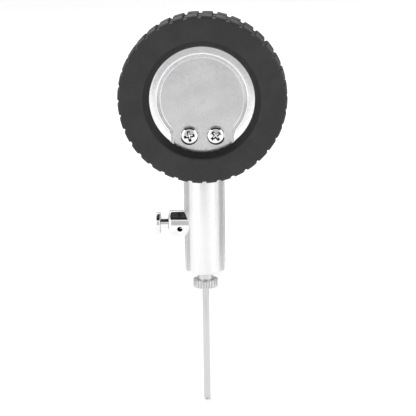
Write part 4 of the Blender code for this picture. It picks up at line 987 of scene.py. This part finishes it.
def dial_marks(material):
    """Ticks and the scale's arc, raised as a film of ink."""
    builder = bmesh.new()
    face = low("dial_plate").y
    near, far = face - INK_THICKNESS, face + INK_THICKNESS / 2

    def band(corners):
        loops = [[builder.verts.new((x, y, z)) for x, z in corners] for y in (near, far)]
        for index in range(len(corners)):
            builder.faces.new((loops[0][index - 1], loops[0][index], loops[1][index], loops[1][index - 1]))
        builder.faces.new(loops[0])
        builder.faces.new(loops[1][::-1])

    outer = SCALE_RADIUS
    for tick in range(2 * DIAL_TOP_VALUE + 1):
        angle = dial_turn(tick / 2)
        long, wide = next(sizes for every, *sizes in TICKS if tick % every == 0)
        along = Vector((math.cos(angle), math.sin(angle)))
        across = Vector((-along.y, along.x)) * wide / 2
        inner = outer - long
        band([along * inner - across, along * inner + across, along * outer + across, along * outer - across])
    edge = math.asin(TICKS[0][2] / 2 / outer)
    first, last = dial_turn(0) + edge, dial_turn(DIAL_TOP_VALUE) - edge
    ring = []
    for step in range(SCALE_STEPS + 1):
        angle = first + (last - first) * step / SCALE_STEPS
        along = Vector((math.cos(angle), math.sin(angle)))
        points = [along * (outer - 0.02 * mm), along * (outer + 0.28 * mm)]
        ring.append([[builder.verts.new((p.x, y, p.y)) for y in (near, far)] for p in points])
    for (a, b), (c, d) in zip(ring, ring[1:]):
        builder.faces.new((a[0], c[0], d[0], b[0]))
        builder.faces.new((a[1], b[1], d[1], c[1]))
        builder.faces.new((a[0], a[1], c[1], c[0]))
        builder.faces.new((b[0], d[0], d[1], b[1]))
    for (a, b) in (ring[0], ring[-1]):
        builder.faces.new((a[0], b[0], b[1], a[1]))
    return made("dial_marks", builder, material, HEAD)


def dial_number(value, material):
    curve = bpy.data.curves.new(f"number_{value}", "FONT")
    curve.body = str(value)
    curve.size = NUMBER_SIZE
    curve.extrude = INK_THICKNESS
    curve.offset = 0.05 * mm
    curve.align_x = "CENTER"
    curve.align_y = "CENTER"
    text = bpy.data.objects.new(f"number_{value}", curve)
    bpy.context.scene.collection.objects.link(text)
    bpy.context.view_layer.update()
    graph = bpy.context.evaluated_depsgraph_get()
    mesh = bpy.data.meshes.new_from_object(text.evaluated_get(graph))
    bpy.data.objects.remove(text)
    xs = [vert.co.x for vert in mesh.vertices]
    zs = [vert.co.y for vert in mesh.vertices]
    centring = Vector((-(min(xs) + max(xs)) / 2, -(min(zs) + max(zs)) / 2, 0))
    angle = dial_turn(value)
    reach = NUMBER_REACH
    face = low("dial_plate").y - INK_THICKNESS / 4
    spot = HEAD + Vector((reach * math.cos(angle), face, reach * math.sin(angle)))
    upright = Matrix.Rotation(math.pi / 2, 4, "X")
    mesh.transform(Matrix.Translation(spot) @ upright @ Matrix.Translation(centring))
    mesh.materials.clear()
    mesh.materials.append(material)
    number = bpy.data.objects.new(f"dial_number_{value}", mesh)
    bpy.context.scene.collection.objects.link(number)
    return number


def hub_cap(material):
    node = "pointer_hub"
    radius = half(node).x
    front, rear = low(node).y, high(node).y
    cap_rear = front + HUB_CAP_HEIGHT
    outline = eased(
        [
            (0, front, 0),
            (radius * 0.8, front, 0.35 * mm),
            (radius, front + 0.25 * mm, 0.15 * mm),
            (radius, cap_rear, 0.06 * mm),
            (HUB_NECK, cap_rear, 0),
            (HUB_NECK, rear, 0),
            (HUB_BORE, rear, 0),
            (HUB_BORE, front + HUB_FLANGE_HEIGHT, 0),
            (0, front + HUB_FLANGE_HEIGHT, 0),
        ],
        0,
        closed=False,
    )
    return lathe("hub_cap", outline, material, HEAD, "Y", sides=64)


# Putting it together


def dress_cad_nodes(looks):
    """Gives every CAD node that stays in view its material, and softens its edges."""
    of_slot = {
        "guard_rubber": looks["guard"],
        "seal_rubber": looks["seal"],
        "satin_chrome": looks["stem"],
        "bright_chrome": looks["chrome"],
        "case_steel": looks["case"],
        "small_steel": looks["steel"],
        "brass": looks["brass"],
        "window_glass": looks["glass"],
        "dial_white": looks["dial"],
        "pointer_black": looks["pointer"],
    }
    slot_of = {row["node"]: row["material_slot"] for row in frame["record"]["subparts"]}
    for node, piece in frame["nodes"].items():
        if piece.hide_render:
            continue
        slot = slot_of[node]
        piece.data.materials.clear()
        piece.data.materials.append(of_slot[slot])
        bevelled(piece, 0.05 * mm, 2, 40)


def build():
    looks = {
        "guard": guard_rubber(),
        # painted shade on the guard's inner lip
        "lip": guard_lip_rubber(),
        "polish": case_polish(),
        # painted shade for the screws' cross recesses
        "recess": screw_recess(),
        "seal": seal_rubber(),
        "case": case_nickel(),
        "stem": stem_chrome(),
        "chrome": bright_chrome(),
        "collar": collar_chrome(),
        "needle": needle_steel(),
        "steel": small_steel(),
        "brass": brass(),
        "glass": window_glass(),
        "dial": dial_white(),
        "ink": dial_ink(),
        "pointer": pointer_black(),
    }
    kept(tyre(looks["guard"], looks["lip"]), "gauge", "guard_rubber", "tyre_guard")
    kept(case_back(looks["case"], looks["polish"]), "gauge", "case_steel", "gauge_case")
    for side in ("left", "right"):
        screw = pan_head_screw(side, looks["chrome"], looks["recess"])
        kept(screw, "gauge", "bright_chrome", f"case_screw_{side}")
    kept(stem(looks["stem"]), "gauge", "satin_chrome", "stem_body")
    kept(valve_housing(looks["chrome"]), "gauge", "bright_chrome", "bleed_valve_body")
    kept(plunger(looks["chrome"]), "bleed_group", "bright_chrome", "bleed_plunger")
    kept(button(looks["chrome"]), "bleed_group", "bright_chrome", "bleed_button")
    kept(collar(looks["collar"]), "needle_group", "bright_chrome", "needle_collar")
    kept(needle_tube(looks["needle"]), "needle_group", "bright_chrome", "needle_tube")
    kept(bezel(looks["chrome"]), "gauge", "bright_chrome", "bezel_ring")
    kept(window(looks["glass"]), "gauge", "window_glass", "lens")
    kept(dial_face(looks["dial"]), "gauge", "dial_white", "dial_plate")
    kept(dial_marks(looks["ink"]), "gauge", "pointer_black")
    for value in range(0, DIAL_TOP_VALUE + 1, 5):
        kept(dial_number(value, looks["ink"]), "gauge", "pointer_black")
    kept(hub_cap(looks["brass"]), "pointer_group", "brass", "pointer_hub")
    dress_cad_nodes(looks)


# Studio


def stage_sheet(name, material, size, at, normal=(0, 0, 1)):
    builder = bmesh.new()
    bmesh.ops.create_grid(builder, x_segments=2, y_segments=2, size=0.5)
    turn = Vector(normal).to_track_quat("Z", "Y").to_matrix().to_4x4()
    scale = Matrix.Diagonal((*size, 1, 1))
    builder.transform(Matrix.Translation(Vector(at)) @ turn @ scale)
    mesh = bpy.data.meshes.new(name)
    builder.to_mesh(mesh)
    builder.free()
    mesh.materials.append(material)
    sheet = bpy.data.objects.new(name, mesh)
    bpy.context.scene.collection.objects.link(sheet)
    return sheet


def soft_light(name, at, target, size, energy):
    lamp = bpy.data.lights.new(name, "AREA")
    lamp.shape = "RECTANGLE"
    lamp.size, lamp.size_y = size
    lamp.energy = energy
    light = bpy.data.objects.new(name, lamp)
    light.location = at
    light.rotation_euler = (Vector(target) - Vector(at)).to_track_quat("-Z", "Y").to_euler()
    light.visible_camera = False
    bpy.context.scene.collection.objects.link(light)
    return light


def card(name, at, normal, size, brightness):
    """A panel that only reflections see."""
    glow = bpy.data.materials.new(name)
    glow.use_nodes = True
    shader = glow.node_tree.nodes["Principled BSDF"]
    shader.inputs["Base Color"].default_value = (0, 0, 0, 1)
    shader.inputs["Roughness"].default_value = 1.0
    shader.inputs["Specular IOR Level"].default_value = 0.0
    shader.inputs["Emission Color"].default_value = (1, 1, 1, 1)
    shader.inputs["Emission Strength"].default_value = brightness
    panel = stage_sheet(name, glow, size, at, normal)
    panel.visible_camera = False
    panel.visible_diffuse = False
    panel.visible_shadow = False
    panel.visible_transmission = False


def standing_card(name, azimuth, distance, width, height, brightness):
    """A panel standing on the floor; its azimuth is measured from the camera's side."""
    turn = math.radians(azimuth)
    outward = Vector((math.sin(turn), math.cos(turn), 0))
    at = outward * distance + Vector((0, 0, low("needle_tube").z + height / 2))
    card(name, at, -outward, (width, height), brightness)


def studio():
    world = bpy.data.worlds.new("studio")
    world.use_nodes = True
    world.node_tree.nodes["Background"].inputs["Color"].default_value = (1, 1, 1, 1)
    world.node_tree.nodes["Background"].inputs["Strength"].default_value = WORLD_STRENGTH
    bpy.context.scene.world = world
    bpy.context.scene.view_settings.view_transform = "Standard"

    floor_look = Look("floor", (0.95, 0.95, 0.95), 0.6)
    floor_look.vary_roughness(floor_look.noise(100 * mm), 0.55, 0.65)
    stage_sheet("floor", floor_look.material, FLOOR_SIZE, (0, 0, low("needle_tube").z - FLOOR_DROP))
    for name, at, size, energy in SOFTBOXES:
        soft_light(name, at, HEAD, size, energy)
    for row in CARDS:
        standing_card(*row)
    hood_at = (0, HOOD_SIZE[1] / 2 - HOOD_OVERHANG, HOOD_HEIGHT)
    card("card_hood", hood_at, (0, 0, -1), HOOD_SIZE, HOOD_BRIGHTNESS)


def camera():
    away = Vector(
        (
            -math.sin(CAMERA_SWING) * math.cos(CAMERA_ELEVATION),
            math.cos(CAMERA_SWING) * math.cos(CAMERA_ELEVATION),
            math.sin(CAMERA_ELEVATION),
        )
    )
    data = bpy.data.cameras.new("camera")
    data.lens = CAMERA_LENS
    data.sensor_width = CAMERA_SENSOR
    data.clip_start = 10 * mm
    seen_from = bpy.data.objects.new("camera", data)
    seen_from.location = HEAD + away * CAMERA_DISTANCE
    facing = (CAMERA_AIM - seen_from.location).to_track_quat("-Z", "Y").to_matrix().to_4x4()
    turn = facing @ Matrix.Rotation(CAMERA_ROLL, 4, "Z")
    seen_from.rotation_euler = turn.to_euler()
    bpy.context.scene.collection.objects.link(seen_from)
    bpy.context.scene.camera = seen_from


build()
studio()
camera()
